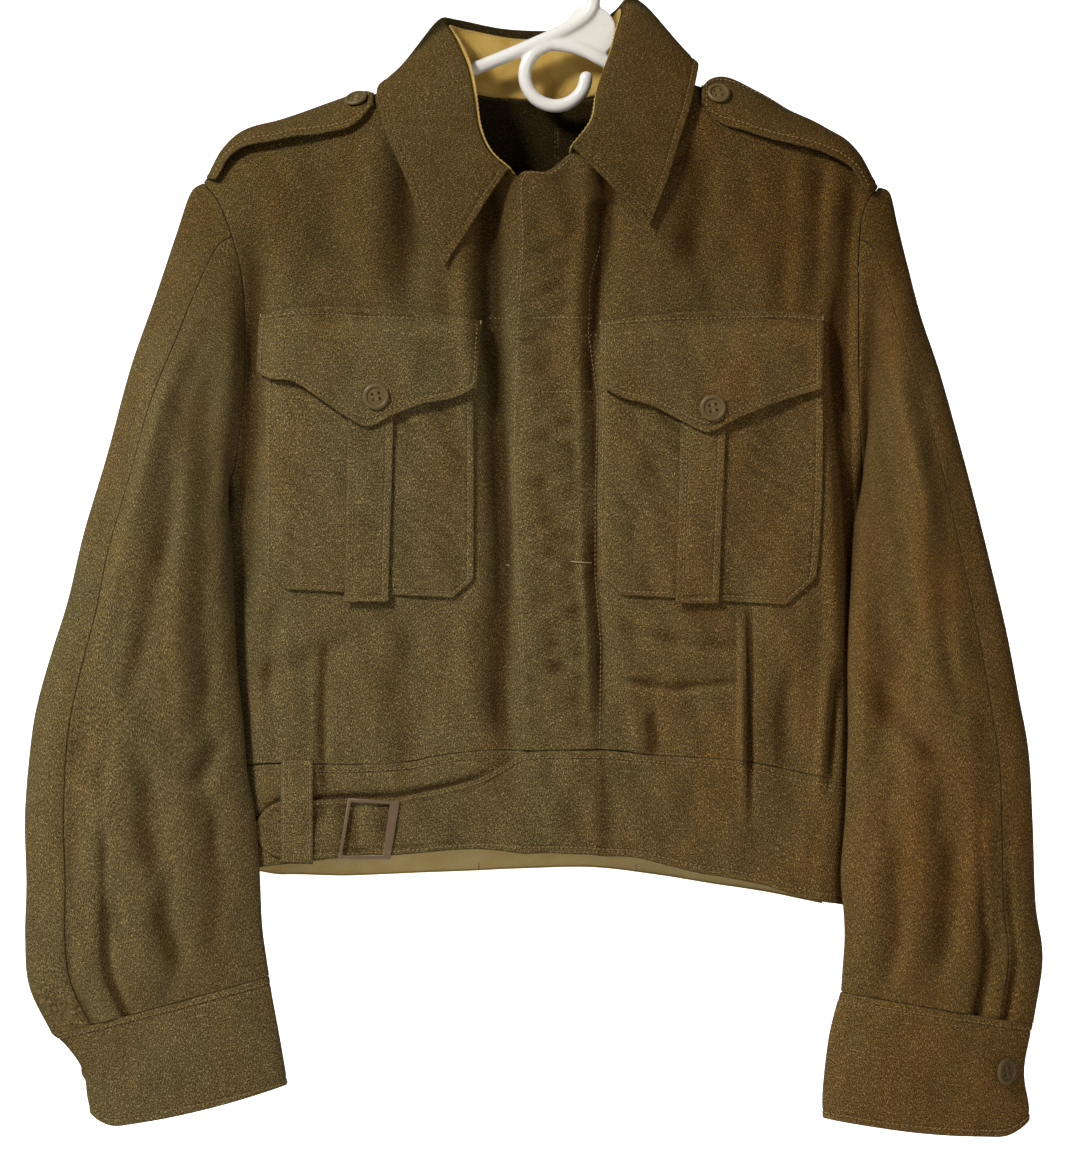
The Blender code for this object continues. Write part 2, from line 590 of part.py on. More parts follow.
def patch(rows, columns):
    """x and z of a grid between the ends of each row."""
    left_x, left_z, right_x, right_z = np.array(rows, float).T[:, :, None]
    across = np.linspace(0, 1, columns)
    return left_x + across * (right_x - left_x), left_z + across * (right_z - left_z)


def pocket_lift(x, z, rows):
    """How far the pocket's face stands off the front: flat at its seams, full in the middle."""
    left, right = rows[0][0], rows[0][2]
    top, foot = rows[0][1], rows[-1][1]
    across = np.clip((x - left) / (right - left), 0, 1)
    down = np.clip((z - top) / (foot - top), 0, 1)
    return LAYER + POCKET_PUFF * np.sin(math.pi * across) * np.sin(math.pi * down) ** 0.5


def make_pocket(side, rows, pleat, flap, button_x, button_z):
    """A patch pocket with a box pleat and a pointed flap, and the flap's button."""
    x, z = patch(rows, POCKET_COLUMNS)
    cloth(f"pocket_{side}", on_front(x, z, pocket_lift(x, z, rows)), FORWARD)
    x, z = patch(np.linspace(*pleat, PLEAT_ROWS), 4)
    lift = pocket_lift(x, z, rows) + LAYER + PLEAT_CLEARANCE
    cloth(f"pocket_pleat_{side}", on_front(x, z, lift), FORWARD)
    top_x, top_z, foot_x, foot_z = np.array(flap, float).T
    down = np.array(FLAP_ROWS)[:, None]
    x = top_x + down * (foot_x - top_x)
    z = top_z + down * (foot_z - top_z)

    def flap_lift(x, z):
        over_pocket = rise(top_z.mean() - z, 0, FLAP_SEAM)
        return PLIES + LAYER_GAP + over_pocket * (pocket_lift(x, z, rows) + LAYER + FLAP_CLEARANCE)

    cloth(f"pocket_flap_{side}", on_front(x, z, flap_lift(x, z)), FORWARD, thickness=PLIES)
    lift = flap_lift(np.array(button_x), np.array(button_z)) + LAYER_GAP
    place_button(f"pocket_button_{side}", on_front(button_x, button_z, lift), FORWARD, BUTTON)


def make_strap(side, table, lean, end_round):
    """A shoulder strap bent over the shoulder, its round end buttoned by the collar."""
    start, end = table[0][0], table[-1][0]
    middle = through(sorted(table))
    toward_neck = math.copysign(1, end - start)
    share = np.array(STRAP_SHARES)[:, None]
    length = abs(end - start)
    from_end = (1 - share) * length
    to_round = 1 - from_end / STRAP_HALF_WIDTH
    round_end = np.sqrt(np.clip(1 - to_round**2, STRAP_END_BLUNT**2, 1))
    half_width = STRAP_HALF_WIDTH * np.where(from_end < STRAP_HALF_WIDTH, round_end, 1)
    across = np.linspace(-1, 1, STRAP_COLUMNS) * half_width
    at_seam = (1 - share) * STRAP_BOW * (across / STRAP_HALF_WIDTH) ** 2
    x = start + toward_neck * (share * length + at_seam)
    grown = rise(share, 0, 1)
    bend = STRAP_ROUND[0] + (end_round - STRAP_ROUND[0]) * grown
    tilt = np.radians(lean[0] + (lean[1] - lean[0]) * grown)
    angle = across / bend + tilt
    over, forward = middle(x)
    y = -forward - bend * (np.sin(angle) - np.sin(tilt))
    z = shoulder(x) + over - bend * (np.cos(tilt) - np.cos(angle))
    face = np.stack([x, y, z], axis=-1)
    upward = np.stack([np.zeros_like(angle), -np.sin(angle), np.cos(angle)], axis=-1)
    cloth(f"shoulder_strap_{side}", face, upward, thickness=PLIES)
    place = (STRAP_BUTTON_ROW, STRAP_COLUMNS // 2)
    seat = face[place]
    normal = face_normals(face, upward, False, ())[place]
    place_button(f"strap_button_{side}", seat + normal * LAYER_GAP, normal, SMALL_BUTTON)


def band_grid(table, rows=BAND_ROWS):
    """x and z over a waistband, drawn in toward the hem with the body's sides."""
    x, top, foot = np.array(table, float).T
    share = np.array(rows)[:, None]
    z = top - BAND_DROP + share * (foot - top)
    side = np.where(x < BODY_CENTRE, 0, 1)
    now, first = body_sides(z), body_sides(top)
    edge_now = np.where(side == 0, now[0], now[1])
    edge_first = np.where(side == 0, first[0], first[1])
    outermost = np.abs(x - edge_first) < 0.5
    scaled = BODY_CENTRE + (x - BODY_CENTRE) * (edge_now - BODY_CENTRE) / (edge_first - BODY_CENTRE)
    return np.where(outermost, edge_now, scaled), z


def belt_lift(x, z):
    """The right band lies over the left one from the fly on, and humps inside the buckle."""
    hump_middle = (BUCKLE_OPENING[0][0] + BUCKLE_OPENING[2][0]) / 2
    foot, top = BUCKLE_OPENING[2][1], BUCKLE_OPENING[1][1]
    inside = rise(z, foot, foot + BELT_HUMP_CLEAR) * (1 - rise(z, top - BELT_HUMP_CLEAR, top))
    hump = BELT_HUMP * np.exp(-(((x - hump_middle) / BELT_HUMP_WIDTH) ** 2)) * inside
    return LAYER * (1 - rise(x, *BELT_STEP)) + hump


def make_waistband():
    """Front bands, the belt end that runs through the buckle, back band, lining and loop."""
    x, z = band_grid(WAISTBAND_LEFT)
    cloth("waistband_left", on_front(x, z), FORWARD, folds=("first_column",))
    x, z = band_grid(WAISTBAND_RIGHT)
    cloth("waistband_right", on_front(x, z, belt_lift(x, z)), FORWARD, folds=("first_column",))
    x, z = band_grid(WAISTBAND_BACK)
    back = on_back(x, z)
    ends = ("first_column", "last_column")
    cloth("waistband_back", back, BACKWARD, folds=ends)
    normals = face_normals(back, BACKWARD, False, ends)
    lining = back - normals * (SERGE + LAYER_GAP)
    foot = lining[-1] - (0, 0, LINING_DROP)
    strip = np.array([foot + (0, 0, LINING_HEIGHT * share) for share in (1.0, 0.5, 0.0)])
    strip[:, :, :2] = np.array([lining[1], (lining[1] + foot) / 2, foot])[:, :, :2]
    inner = slice(4, -4)
    cloth("waistband_lining", strip[:, inner], BACKWARD, slot="drill", thickness=DRILL)
    z, over = np.array(LOOP_ROWS).T[:, :, None]
    x = np.linspace(*LOOP_X, 3)
    lift = LAYER + over * (LAYER + LOOP_CLEARANCE)
    cloth("belt_loop", on_front(x, z, lift), FORWARD)


def make_buckle():
    """A flat rectangular slide of painted steel over the belt."""
    outline = bpy.data.curves.new("buckle", "CURVE")
    outline.dimensions = "2D"
    outline.fill_mode = "BOTH"
    outline.extrude = BUCKLE_THICKNESS / 2 * MM
    for corners in (BUCKLE_OUTLINE, BUCKLE_OPENING):
        spline = outline.splines.new("POLY")
        spline.points.add(len(corners) - 1)
        spline.use_cyclic_u = True
        for point, (x, z) in zip(spline.points, corners):
            point.co = (x * MM, z * MM, 0, 1)
    mesh = solid_mesh(outline)
    buckle = add_object("buckle", mesh, "buckle_brown")
    corners = np.array(BUCKLE_OUTLINE, float).T
    face = on_front(*corners, LAYER + 2 * LAYER_GAP + BUCKLE_THICKNESS / 2)
    buckle.rotation_euler = (math.radians(90), 0, 0)
    buckle.location = (0, face[:, 1].min() * MM, 0)


def solid_mesh(curve):
    """A closed mesh from a curve with filled caps."""
    guide = bpy.data.objects.new("guide", curve)
    bpy.context.scene.collection.objects.link(guide)
    depsgraph = bpy.context.evaluated_depsgraph_get()
    mesh = bpy.data.meshes.new_from_object(guide.evaluated_get(depsgraph))
    bpy.data.objects.remove(guide)
    bm = bmesh.new()
    bm.from_mesh(mesh)
    bmesh.ops.remove_doubles(bm, verts=bm.verts, dist=0.00001)
    bmesh.ops.recalc_face_normals(bm, faces=bm.faces)
    bm.to_mesh(mesh)
    bm.free()
    return mesh


def button_mesh(diameter):
    """A four-hole button with a raised rim, its face toward +Z and its back at z 0."""
    radius, height = diameter / 2 * MM, BUTTON_THICKNESS * MM
    mesh = bpy.data.meshes.new("button_profile")
    points = [(radius * r, 0, height * h) for r, h in BUTTON_PROFILE]
    mesh.from_pydata(points, [(k, k + 1) for k in range(len(points) - 1)], [])
    turned = bpy.data.objects.new("turned", mesh)
    screw = turned.modifiers.new("turn", "SCREW")
    screw.steps = screw.render_steps = 14
    screw.use_merge_vertices = True
    screw.merge_threshold = 0.00001
    bm = bmesh.new()
    for x, y in ((1, 1), (-1, 1), (-1, -1), (1, -1)):
        hole = bmesh.ops.create_cone(
            bm,
            cap_ends=True,
            segments=6,
            radius1=HOLE_RADIUS * MM,
            radius2=HOLE_RADIUS * MM,
            depth=BUTTON * MM,
        )
        offset = (x * HOLE_OFFSET * MM, y * HOLE_OFFSET * MM, 0)
        bmesh.ops.translate(bm, verts=hole["verts"], vec=offset)
    drill_mesh = bpy.data.meshes.new("holes")
    bm.to_mesh(drill_mesh)
    bm.free()
    holes = bpy.data.objects.new("holes", drill_mesh)
    cut = turned.modifiers.new("holes", "BOOLEAN")
    cut.object = holes
    for guide in (turned, holes):
        bpy.context.scene.collection.objects.link(guide)
    depsgraph = bpy.context.evaluated_depsgraph_get()
    button = bpy.data.meshes.new_from_object(turned.evaluated_get(depsgraph))
    for guide in (turned, holes):
        bpy.data.objects.remove(guide)
    return button


def place_button(name, seat, normal, diameter):
    """A button at a seat in millimetres, its face along normal."""
    key = f"button_{diameter:g}"
    mesh = bpy.data.meshes.get(key)
    if not mesh:
        mesh = button_mesh(diameter)
        mesh.name = key
    button = add_object(name, mesh, "button_brown")
    button.location = Vector(seat) * MM
    button.rotation_mode = "QUATERNION"
    button.rotation_quaternion = Vector(normal).to_track_quat("Z", "Y")


def make_cuff_buttons(cuffs):
    """One button on each cuff: on its front at the right, round its edge behind at the left."""
    for side, ring, column in (("left", 2, 20), ("right", 2, 3)):
        cuff = cuffs[side]
        normals = face_normals(cuff, cuff - cuff.mean(axis=1, keepdims=True), True, ())
        normal = normals[ring, column]
        seat = cuff[ring, column] + normal * CUFF_BUTTON_LIFT
        place_button(f"cuff_button_{side}", seat, normal, BUTTON)


def rod(name, points):
    """A round rod through points in x and z, as a mesh."""
    curve = bpy.data.curves.new(name, "CURVE")
    curve.dimensions = "3D"
    curve.bevel_depth = ROD_RADIUS * MM
    curve.bevel_resolution = 3
    curve.use_fill_caps = True
    spline = curve.splines.new("POLY")
    spline.points.add(len(points) - 1)
    for point, (x, z) in zip(spline.points, points):
        point.co = (x * MM, 0, z * MM, 1)
    return solid_mesh(curve)


def arc(centre, radius, start, end, steps):
    """Points on an arc in x and z, its angles in degrees from +X toward +Z."""
    angles = np.radians(np.linspace(start, end, steps))
    return [(centre[0] + radius * math.cos(a), centre[1] + radius * math.sin(a)) for a in angles]


def under_shoulder(*places):
    """Points of an arm that the shoulder seam rests on."""
    return [(x, float(shoulder(x)) - ARM_DROP) for x in places]


def make_hanger():
    """One moulding: an arm that turns up into the hook, an arm that ends in a curl, and a web."""
    left = under_shoulder(-217, -203, -175, -145, -117)
    left += [(-70, -111), (-31, -95), (-3, -82.5), (12, -74), (19.5, -66), (21.5, -56), (21.5, -38)]
    left += arc((0, HOOK_CENTRE_Z), HOOK_RADIUS, 0, 180, 12)
    right = under_shoulder(174, 162, 150, 120, 90, 65)
    right += [(31, -104), (12, -94.5)] + arc(CURL_CENTRE, CURL_RADIUS, 90, 355, 16)
    hanger = add_object("hanger", rod("hanger", left), "white_plastic")
    guides = [bpy.data.objects.new("arm_right", rod("arm_right", right))]
    for name, (x, z) in (("hook_tip", left[-1]), ("curl_tip", right[-1])):
        bpy.ops.mesh.primitive_uv_sphere_add(
            segments=12, ring_count=8, radius=(ROD_RADIUS - TIP_INSET) * MM, location=(x * MM, 0, z * MM)
        )
        guides.append(bpy.context.object)
    bpy.ops.mesh.primitive_cylinder_add(
        vertices=28,
        radius=WEB_RADIUS * MM,
        depth=WEB_THICKNESS * MM,
        location=(WEB_CENTRE[0] * MM, 0, WEB_CENTRE[1] * MM),
        rotation=(math.radians(90), 0, 0),
    )
    guides.append(bpy.context.object)
    for guide in guides:
        for home in guide.users_collection:
            home.objects.unlink(guide)
        bpy.data.collections["cutters"].objects.link(guide)
        guide.hide_render = True
        guide.display_type = "WIRE"
        join = hanger.modifiers.new(guide.name, "BOOLEAN")
        join.operation = "UNION"
        join.solver = "EXACT"
        join.object = guide


def main():
    for old in list(bpy.data.objects):
        bpy.data.objects.remove(old)
    for name in ("battledress_jacket", "cutters"):
        bpy.context.scene.collection.children.link(bpy.data.collections.new(name))
    faces = make_body()
    cuffs = {
        "left": make_sleeve("left", SLEEVE_LEFT_RINGS, CUFF_LEFT_RINGS, faces, SLEEVE_LEFT_FOLDS),
        "right": make_sleeve("right", SLEEVE_RIGHT_RINGS, CUFF_RIGHT_RINGS, faces, SLEEVE_RIGHT_FOLDS),
    }
    make_cuff_buttons(cuffs)
    make_collar(faces)
    make_pocket("left", POCKET_LEFT_ROWS, PLEAT_LEFT, FLAP_LEFT, -133.0, -344.5)
    make_pocket("right", POCKET_RIGHT_ROWS, PLEAT_RIGHT, FLAP_RIGHT, 105.0, -352.5)
    make_strap("left", STRAP_LEFT, STRAP_LEAN_LEFT, STRAP_ROUND[1])
    make_strap("right", STRAP_RIGHT, STRAP_LEAN_RIGHT, STRAP_ROUND[2])
    make_waistband()
    make_buckle()
    make_hanger()


main()
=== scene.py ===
# %% [markdown]
# # A wool battledress jacket on its hanger
# The jacket hangs flat and heavy: two layers of thick serge, front and back, meet in a rounded
# fold along the shoulders and at the side seams, and two-piece sleeves hang beside them. The
# solids already give each cut piece its place. This lesson lays a finer sheet of cloth over each
# of them, with its soft folds, seams and stitches, and gives every surface its own finish.

# %% Load the solids
import math

import bmesh
import bpy
import numpy as np
from mathutils import Matrix, Vector


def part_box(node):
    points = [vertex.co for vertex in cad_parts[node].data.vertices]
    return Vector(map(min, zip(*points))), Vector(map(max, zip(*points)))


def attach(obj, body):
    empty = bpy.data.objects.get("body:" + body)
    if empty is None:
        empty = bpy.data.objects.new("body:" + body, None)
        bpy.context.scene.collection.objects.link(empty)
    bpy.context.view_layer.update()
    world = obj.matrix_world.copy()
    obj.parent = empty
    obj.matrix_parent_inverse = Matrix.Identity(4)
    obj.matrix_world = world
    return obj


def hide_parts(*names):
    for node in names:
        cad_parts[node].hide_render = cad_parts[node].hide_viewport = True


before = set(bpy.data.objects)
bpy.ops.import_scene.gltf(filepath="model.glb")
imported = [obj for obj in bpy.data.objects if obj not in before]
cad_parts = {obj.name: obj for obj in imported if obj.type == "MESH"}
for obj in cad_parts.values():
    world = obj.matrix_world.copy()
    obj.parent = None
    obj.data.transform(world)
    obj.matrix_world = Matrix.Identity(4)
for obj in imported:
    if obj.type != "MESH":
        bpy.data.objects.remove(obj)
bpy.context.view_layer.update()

MM = 0.001
MERGE = 0.00001  # metres within which doubled points are merged

# %% [markdown]
# ## Camera, light and backdrop
# The photograph looks straight at the front from about four metres, so the jacket shows almost
# without perspective. A lamp from the upper left and a weaker one from the right model the folds,
# and a third rakes along the cloth from the left. Two more light a pale wall far behind, so that
# it stays white and casts no colour on the jacket.

# %% Camera
scene = bpy.context.scene
scene.view_settings.view_transform = "Standard"
FRAME_HEIGHT = 0.83655  # metres that the picture takes in from top to bottom
DISTANCE = 4.0
SENSOR_HEIGHT = 24.0  # millimetres
camera = bpy.data.objects.new("camera", bpy.data.cameras.new("camera"))
scene.collection.objects.link(camera)
scene.camera = camera
camera.location = (-0.01716, -DISTANCE, -0.47762)
camera.rotation_euler = (math.radians(90), 0, 0)
camera.data.sensor_fit = "VERTICAL"
camera.data.sensor_height = SENSOR_HEIGHT
camera.data.lens = SENSOR_HEIGHT * DISTANCE / FRAME_HEIGHT

# %% Lights
def soft_light(name, place, size, power, colour=(1, 1, 1), target=(0, 0, -0.45)):
    """A square lamp that looks at a target, most often the middle of the jacket."""
    lamp = bpy.data.lights.new(name, "AREA")
    lamp.size = size
    lamp.energy = power
    lamp.color = colour
    holder = bpy.data.objects.new(name, lamp)
    holder.location = place
    aim = Vector(target) - holder.location
    holder.rotation_euler = aim.to_track_quat("-Z", "Y").to_euler()
    scene.collection.objects.link(holder)


soft_light("key", (-1.5, -1.9, 1.1), 0.45, 66, (1.0, 0.98, 0.90))
soft_light("fill", (1.5, -2.4, -0.3), 0.9, 11, (1.0, 0.84, 0.68))
soft_light("rake", (-1.8, -0.6, 0.7), 0.5, 10)
soft_light("wall_left", (-2.0, 3.3, -0.2), 1.2, 75, target=(-0.2, 4.6, -0.5))
soft_light("wall_right", (2.0, 3.3, -0.2), 1.2, 75, target=(0.2, 4.6, -0.5))
world = bpy.data.worlds.new("studio")
world.use_nodes = True
background = world.node_tree.nodes["Background"].inputs
background["Color"].default_value = (1, 1, 1, 1)
background["Strength"].default_value = 0.10
scene.world = world

# %% [markdown]
# ## Finishes
# A finish is a small node tree. To keep it readable, a socket is wrapped in a class whose
# operators add Math nodes, so `1 - mask * 0.5` can be written as it stands, and one method adds
# any other node with its settings and inputs.

# %% Sockets that can be calculated with
class Value:
    """A socket of a finish that takes part in arithmetic."""

    def __init__(self, finish, socket):
        self.finish, self.socket = finish, socket

    def _maths(self, operation, *inputs):
        return self.finish.node("ShaderNodeMath", {"operation": operation}, places=inputs)

    def __add__(self, other):
        return self._maths("ADD", self, other)

    def __mul__(self, other):
        return self._maths("MULTIPLY", self, other)

    def __rsub__(self, other):
        return self._maths("SUBTRACT", other, self)

    __radd__, __rmul__ = __add__, __mul__


class Finish:
    """A material under one Principled shader."""

    def __init__(self, name, **constants):
        self.material = bpy.data.materials.new(name)
        self.material.use_nodes = True
        self.tree = self.material.node_tree
        self.shader = self.tree.nodes["Principled BSDF"]
        for socket, value in constants.items():
            self.shader.inputs[socket.replace("_", " ")].default_value = value

    def node(self, kind, settings=(), output=0, places=(), **inputs):
        """Any node, with its settings, and the values or links of its inputs."""
        made = self.tree.nodes.new(kind)
        for key, value in dict(settings).items():
            if key == "stops":
                ramp = made.color_ramp.elements
                while len(ramp) < len(value):
                    ramp.new(0.5)
                for element, (position, colour) in zip(ramp, value):
                    element.position = position
                    element.color = (*colour, 1)
            else:
                setattr(made, key, value)
        sockets = list(enumerate(places)) + [(k.replace("_", " "), v) for k, v in inputs.items()]
        for key, value in sockets:
            if isinstance(value, Value):
                self.tree.links.new(value.socket, made.inputs[key])
            else:
                made.inputs[key].default_value = value
        return Value(self, made.outputs[output])

    def noise(self, place, size, detail=2.0, roughness=0.5, squeeze=(1, 1, 1)):
        """Noise whose lumps are size metres wide, drawn out along the axes by squeeze."""
        scale = tuple(1 / size / part for part in squeeze)
        mapped = self.node("ShaderNodeMapping", {}, Vector=place, Scale=scale)
        return self.node(
            "ShaderNodeTexNoise", {}, Vector=mapped, Scale=1.0, Detail=detail, Roughness=roughness
        )

    def twill(self, place, ribs, **inputs):
        """Slanting ribs of a twill weave."""
        kind = {"wave_type": "BANDS", "bands_direction": "DIAGONAL"}
        return self.node("ShaderNodeTexWave", kind, Vector=place, Scale=ribs, **inputs)

    def between(self, value, low, high):
        """0 where value is below low, 1 above high, smooth between."""
        kind = {"interpolation_type": "SMOOTHSTEP"}
        return self.node("ShaderNodeMapRange", kind, Value=value, From_Min=low, From_Max=high)

    def mix(self, share, first, second, blend="MIX"):
        """Two colours mixed by share."""
        made = self.tree.nodes.new("ShaderNodeMix")
        made.data_type = "RGBA"
        made.blend_type = blend
        for key, value in ((0, share), (6, first), (7, second)):
            if isinstance(value, Value):
                self.tree.links.new(value.socket, made.inputs[key])
            else:
                made.inputs[key].default_value = value if key == 0 else (*value, 1)
        return Value(self, made.outputs[2])

    def tint(self, share, colour, factor):
        """A colour multiplied by another one, by share."""
        return self.mix(share, colour, factor, "MULTIPLY")

    def axis(self, vector, number):
        """One part of a vector: 0 for x, 1 for y, 2 for z."""
        return self.node("ShaderNodeSeparateXYZ", {}, output=number, Vector=vector)

    def attribute(self, name):
        """A number that the mesh carries at each point."""
        return self.node("ShaderNodeAttribute", {"attribute_name": name}, output=2)

    def feed(self, socket, value):
        """Link a value to an input of the shader."""
        self.tree.links.new(value.socket, self.shader.inputs[socket])

    def bump(self, height, distance, strength=0.8):
        """Relief of the surface, height 1 standing distance metres proud."""
        relief = self.node("ShaderNodeBump", {}, Height=height, Distance=distance, Strength=strength)
        self.feed("Normal", relief)


# %% [markdown]
# ### Wool serge
# Serge is a twill of carded wool, brushed so that loose fibres hide most of the weave. The yarn
# is spun from fibres dyed brown, olive and yellow before they are mixed, which gives the cloth
# its heather: a fine salt-and-pepper of shades, seen best close up. The pattern follows the
# cloth through its own UV map, measured in metres along the piece.

# %% Cloth finishes
def serge_finish(name, dark, middle, pale):
    """Heather of three shades, edge wear, and light and shade painted by hollow, edge and place."""
    finish = Finish(
        name, Roughness=0.95, Sheen_Weight=0.05, Sheen_Roughness=0.6,
        Sheen_Tint=(0.5, 0.36, 0.16, 1), Specular_IOR_Level=0.04,
    )
    cloth = finish.node("ShaderNodeUVMap", {"uv_map": "cloth"})
    fibres = finish.noise(cloth, 0.0008, detail=3.0, roughness=0.9, squeeze=(0.8, 1.3, 1))
    flecks = finish.noise(cloth, 0.0011, detail=2.0, squeeze=(0.6, 1.9, 1))
    patches = finish.noise(cloth, 0.028, detail=3.0, roughness=0.6)
    bands = finish.noise(cloth, 0.012, detail=2.0, squeeze=(0.5, 3.0, 1))
    stops = ((0.435, dark), (0.50, middle), (0.575, pale))
    colour = finish.node("ShaderNodeValToRGB", {"stops": stops}, Fac=fibres)
    fleck = finish.between(flecks, 0.60, 0.67) * 0.9
    colour = finish.mix(fleck, colour, tuple(part * 1.75 for part in pale))

    # Uneven dye and washing, and a browner cast toward the right sleeve that is painted warm light.
    hue = finish.between(patches, 0.3, 0.7)
    colour = finish.tint(hue * 0.5, colour, (0.80, 0.86, 0.82))
    where = finish.node("ShaderNodeTexCoord", {}, output=3)
    washed = finish.noise(where, 0.055, detail=3.0, squeeze=(0.6, 1, 1.6))
    greener = finish.between(washed, 0.48, 0.66) * 0.7
    colour = finish.tint(greener, colour, (0.90, 1.00, 1.00))
    browner = (1 - finish.between(washed, 0.32, 0.52)) * 0.6
    colour = finish.tint(browner, colour, (1.04, 0.94, 0.82))
    # Painted warm light: the cloth is tinted browner toward the right.
    painted_warm_light_right = finish.between(finish.axis(where, 0), -0.12, 0.30) * 0.75
    colour = finish.tint(painted_warm_light_right, colour, (0.99, 0.72, 0.46))

    # Painted light toward the hem, and painted shade over the chest and shoulders.
    height = finish.axis(where, 2)
    painted_light_toward_hem = 0.96 + (1 - finish.between(height, -0.75, -0.15)) * 0.10
    upper = finish.between(height, -0.36, -0.20)
    colour = finish.tint(upper, colour, (0.72, 0.65, 0.53))

    # Painted shade and light: hollows are painted darker and browner, high folds paler, and edges
    # darker.
    hollow = finish.attribute("hollow")
    hollow_shade_ridge_light = 1.10 - finish.between(hollow, -1.6, 3.6) * 0.62
    brown = finish.between(hollow, 0.4, 2.6)
    colour = finish.tint(brown, colour, (1.0, 0.86, 0.74))
    edge = finish.attribute("edge")
    # Painted shadow along the rim of every piece.
    rim = 1 - (1 - finish.between(edge, 0.0, 1.5)) * 0.5

    # The inner face of the back, seen through the neck, gets little light.
    facing = finish.axis(finish.node("ShaderNodeNewGeometry", {}, output=1), 1)
    behind = finish.between(finish.axis(where, 1), 0.002, 0.008)
    inside = behind * (1 - finish.between(facing, -0.6, -0.1))
    tone = (0.80 + bands * 0.40) * painted_light_toward_hem * hollow_shade_ridge_light * rim * (1 - inside * 0.7)
    grey = finish.node("ShaderNodeCombineColor", {}, places=(tone, tone, tone))
    colour = finish.tint(1.0, colour, grey)
    worn = (1 - finish.between(edge, 0.2, 2.2)) * finish.between(flecks, 0.35, 0.6)
    colour = finish.mix(worn * 0.15, colour, tuple(part * 1.3 for part in pale))
    finish.feed("Base Color", colour)
    twill = finish.twill(cloth, 230.0, Distortion=2.2, Detail=2.0, Detail_Scale=1.5)
    nap = finish.noise(cloth, 0.0008, detail=3.0, roughness=0.8)
    finish.bump(nap * 0.8 + twill * 0.25 + fibres * 0.4, 0.0007)
    return finish.material


def drill_finish(name, colour, pale):
    """Cotton drill with paler stains."""
    finish = Finish(name, Roughness=0.85, Specular_IOR_Level=0.2)
    cloth = finish.node("ShaderNodeUVMap", {"uv_map": "cloth"})
    stains = finish.noise(cloth, 0.02, detail=4.0, roughness=0.6)
    yarn = finish.noise(cloth, 0.0008, detail=2.0)
    shade = finish.mix(finish.between(stains, 0.35, 0.68), colour, pale)
    shade = finish.mix(finish.between(yarn, 0.4, 0.7) * 0.3, shade, tuple(c * 0.6 for c in colour))
    finish.feed("Base Color", shade)
    twill = finish.twill(cloth, 420.0, Distortion=0.6)
    finish.bump(twill * 0.6 + yarn * 0.4, 0.0004)
    return finish.material


DARK, MIDDLE, PALE = (0.016, 0.0105, 0.0036), (0.084, 0.054, 0.0175), (0.270, 0.205, 0.092)
serge = serge_finish("serge", DARK, MIDDLE, PALE)
drill = drill_finish("drill", (0.50, 0.315, 0.07), (0.66, 0.455, 0.13))
# Paler drill for the hem strip: partly its own colour, partly painted light, as it hangs in shade.
hem_drill = drill_finish("hem_drill", (0.90, 0.68, 0.27), (0.94, 0.76, 0.37))
print("cloth finishes:", serge.name, drill.name, hem_drill.name)

# %% [markdown]
# ### Thread, buttons, buckle and hanger
# Small things are seen close to their edges, so their finishes carry fine marks and patches where
# the paint, plastic or thread is worn or dusty. One function makes them all, with two colours.

# %% Finishes of the small pieces
def plain_finish(name, colour, worn, size, roughness, relief, **constants):
    """A colour with patches of wear or dust, in the space of the object."""
    finish = Finish(name, **constants)
    where = finish.node("ShaderNodeTexCoord", {}, output=3)
    patches = finish.noise(where, size, detail=4.0, roughness=0.65)
    marks = finish.noise(where, size / 8, detail=3.0, roughness=0.7)
    mask = finish.between(patches * 0.6 + marks * 0.4, 0.55, 0.7)
    finish.feed("Base Color", finish.mix(mask, colour, worn))
    finish.feed("Roughness", roughness[0] + mask * (roughness[1] - roughness[0]))
    finish.bump(marks, relief, 0.6)
    return finish.material


thread = plain_finish(
    "thread", (0.30, 0.205, 0.09), (0.42, 0.31, 0.155), 0.004, (0.8, 0.9), 0.0002
)
pale_thread = plain_finish(
    "pale_thread", (0.42, 0.34, 0.20), (0.55, 0.47, 0.30), 0.003, (0.8, 0.9), 0.0002
)
button_brown = plain_finish(
    "button_brown", (0.125, 0.088, 0.034), (0.19, 0.14, 0.062), 0.006, (0.36, 0.55), 0.00006,
    Specular_IOR_Level=0.3,
)
buckle_brown = plain_finish(
    "buckle_brown", (0.150, 0.098, 0.056), (0.34, 0.26, 0.18), 0.005, (0.35, 0.55), 0.00008
)
white_plastic = plain_finish(
    "white_plastic", (0.80, 0.79, 0.77), (0.74, 0.72, 0.69), 0.03, (0.16, 0.3), 0.00005,
    Coat_Weight=0.3,
)
backdrop_white = plain_finish(
    "backdrop_white", (0.88, 0.88, 0.88), (0.86, 0.86, 0.86), 0.4, (0.9, 0.95), 0.0001
)
print("small finishes:", thread.name, button_brown.name, buckle_brown.name, white_plastic.name)

# %% [markdown]
# ### Floor and wall
# Two large squares of white paper, one lying and one standing, are staged behind the jacket.

# %% Floor and wall
BACKDROP_REACH = 4.6  # metres from the middle of a sheet to its edge, and from the jacket to the wall
FLOOR_LEVEL = -1.5


def backdrop(name, place, turn):
    """A pale square sheet of paper."""
    bm = bmesh.new()
    bmesh.ops.create_grid(bm, x_segments=1, y_segments=1, size=BACKDROP_REACH)
    bmesh.ops.transform(bm, matrix=Matrix.Translation(place) @ turn, verts=bm.verts)
    mesh = bpy.data.meshes.new(name)
    bm.to_mesh(mesh)
    bm.free()
    mesh.materials.append(backdrop_white)
    sheet = bpy.data.objects.new(name, mesh)
    scene.collection.objects.link(sheet)


upright = Matrix.Rotation(math.radians(90), 4, "X")
backdrop("floor", (0, 0, FLOOR_LEVEL), Matrix())
backdrop("wall", (0, BACKDROP_REACH, 0), upright)
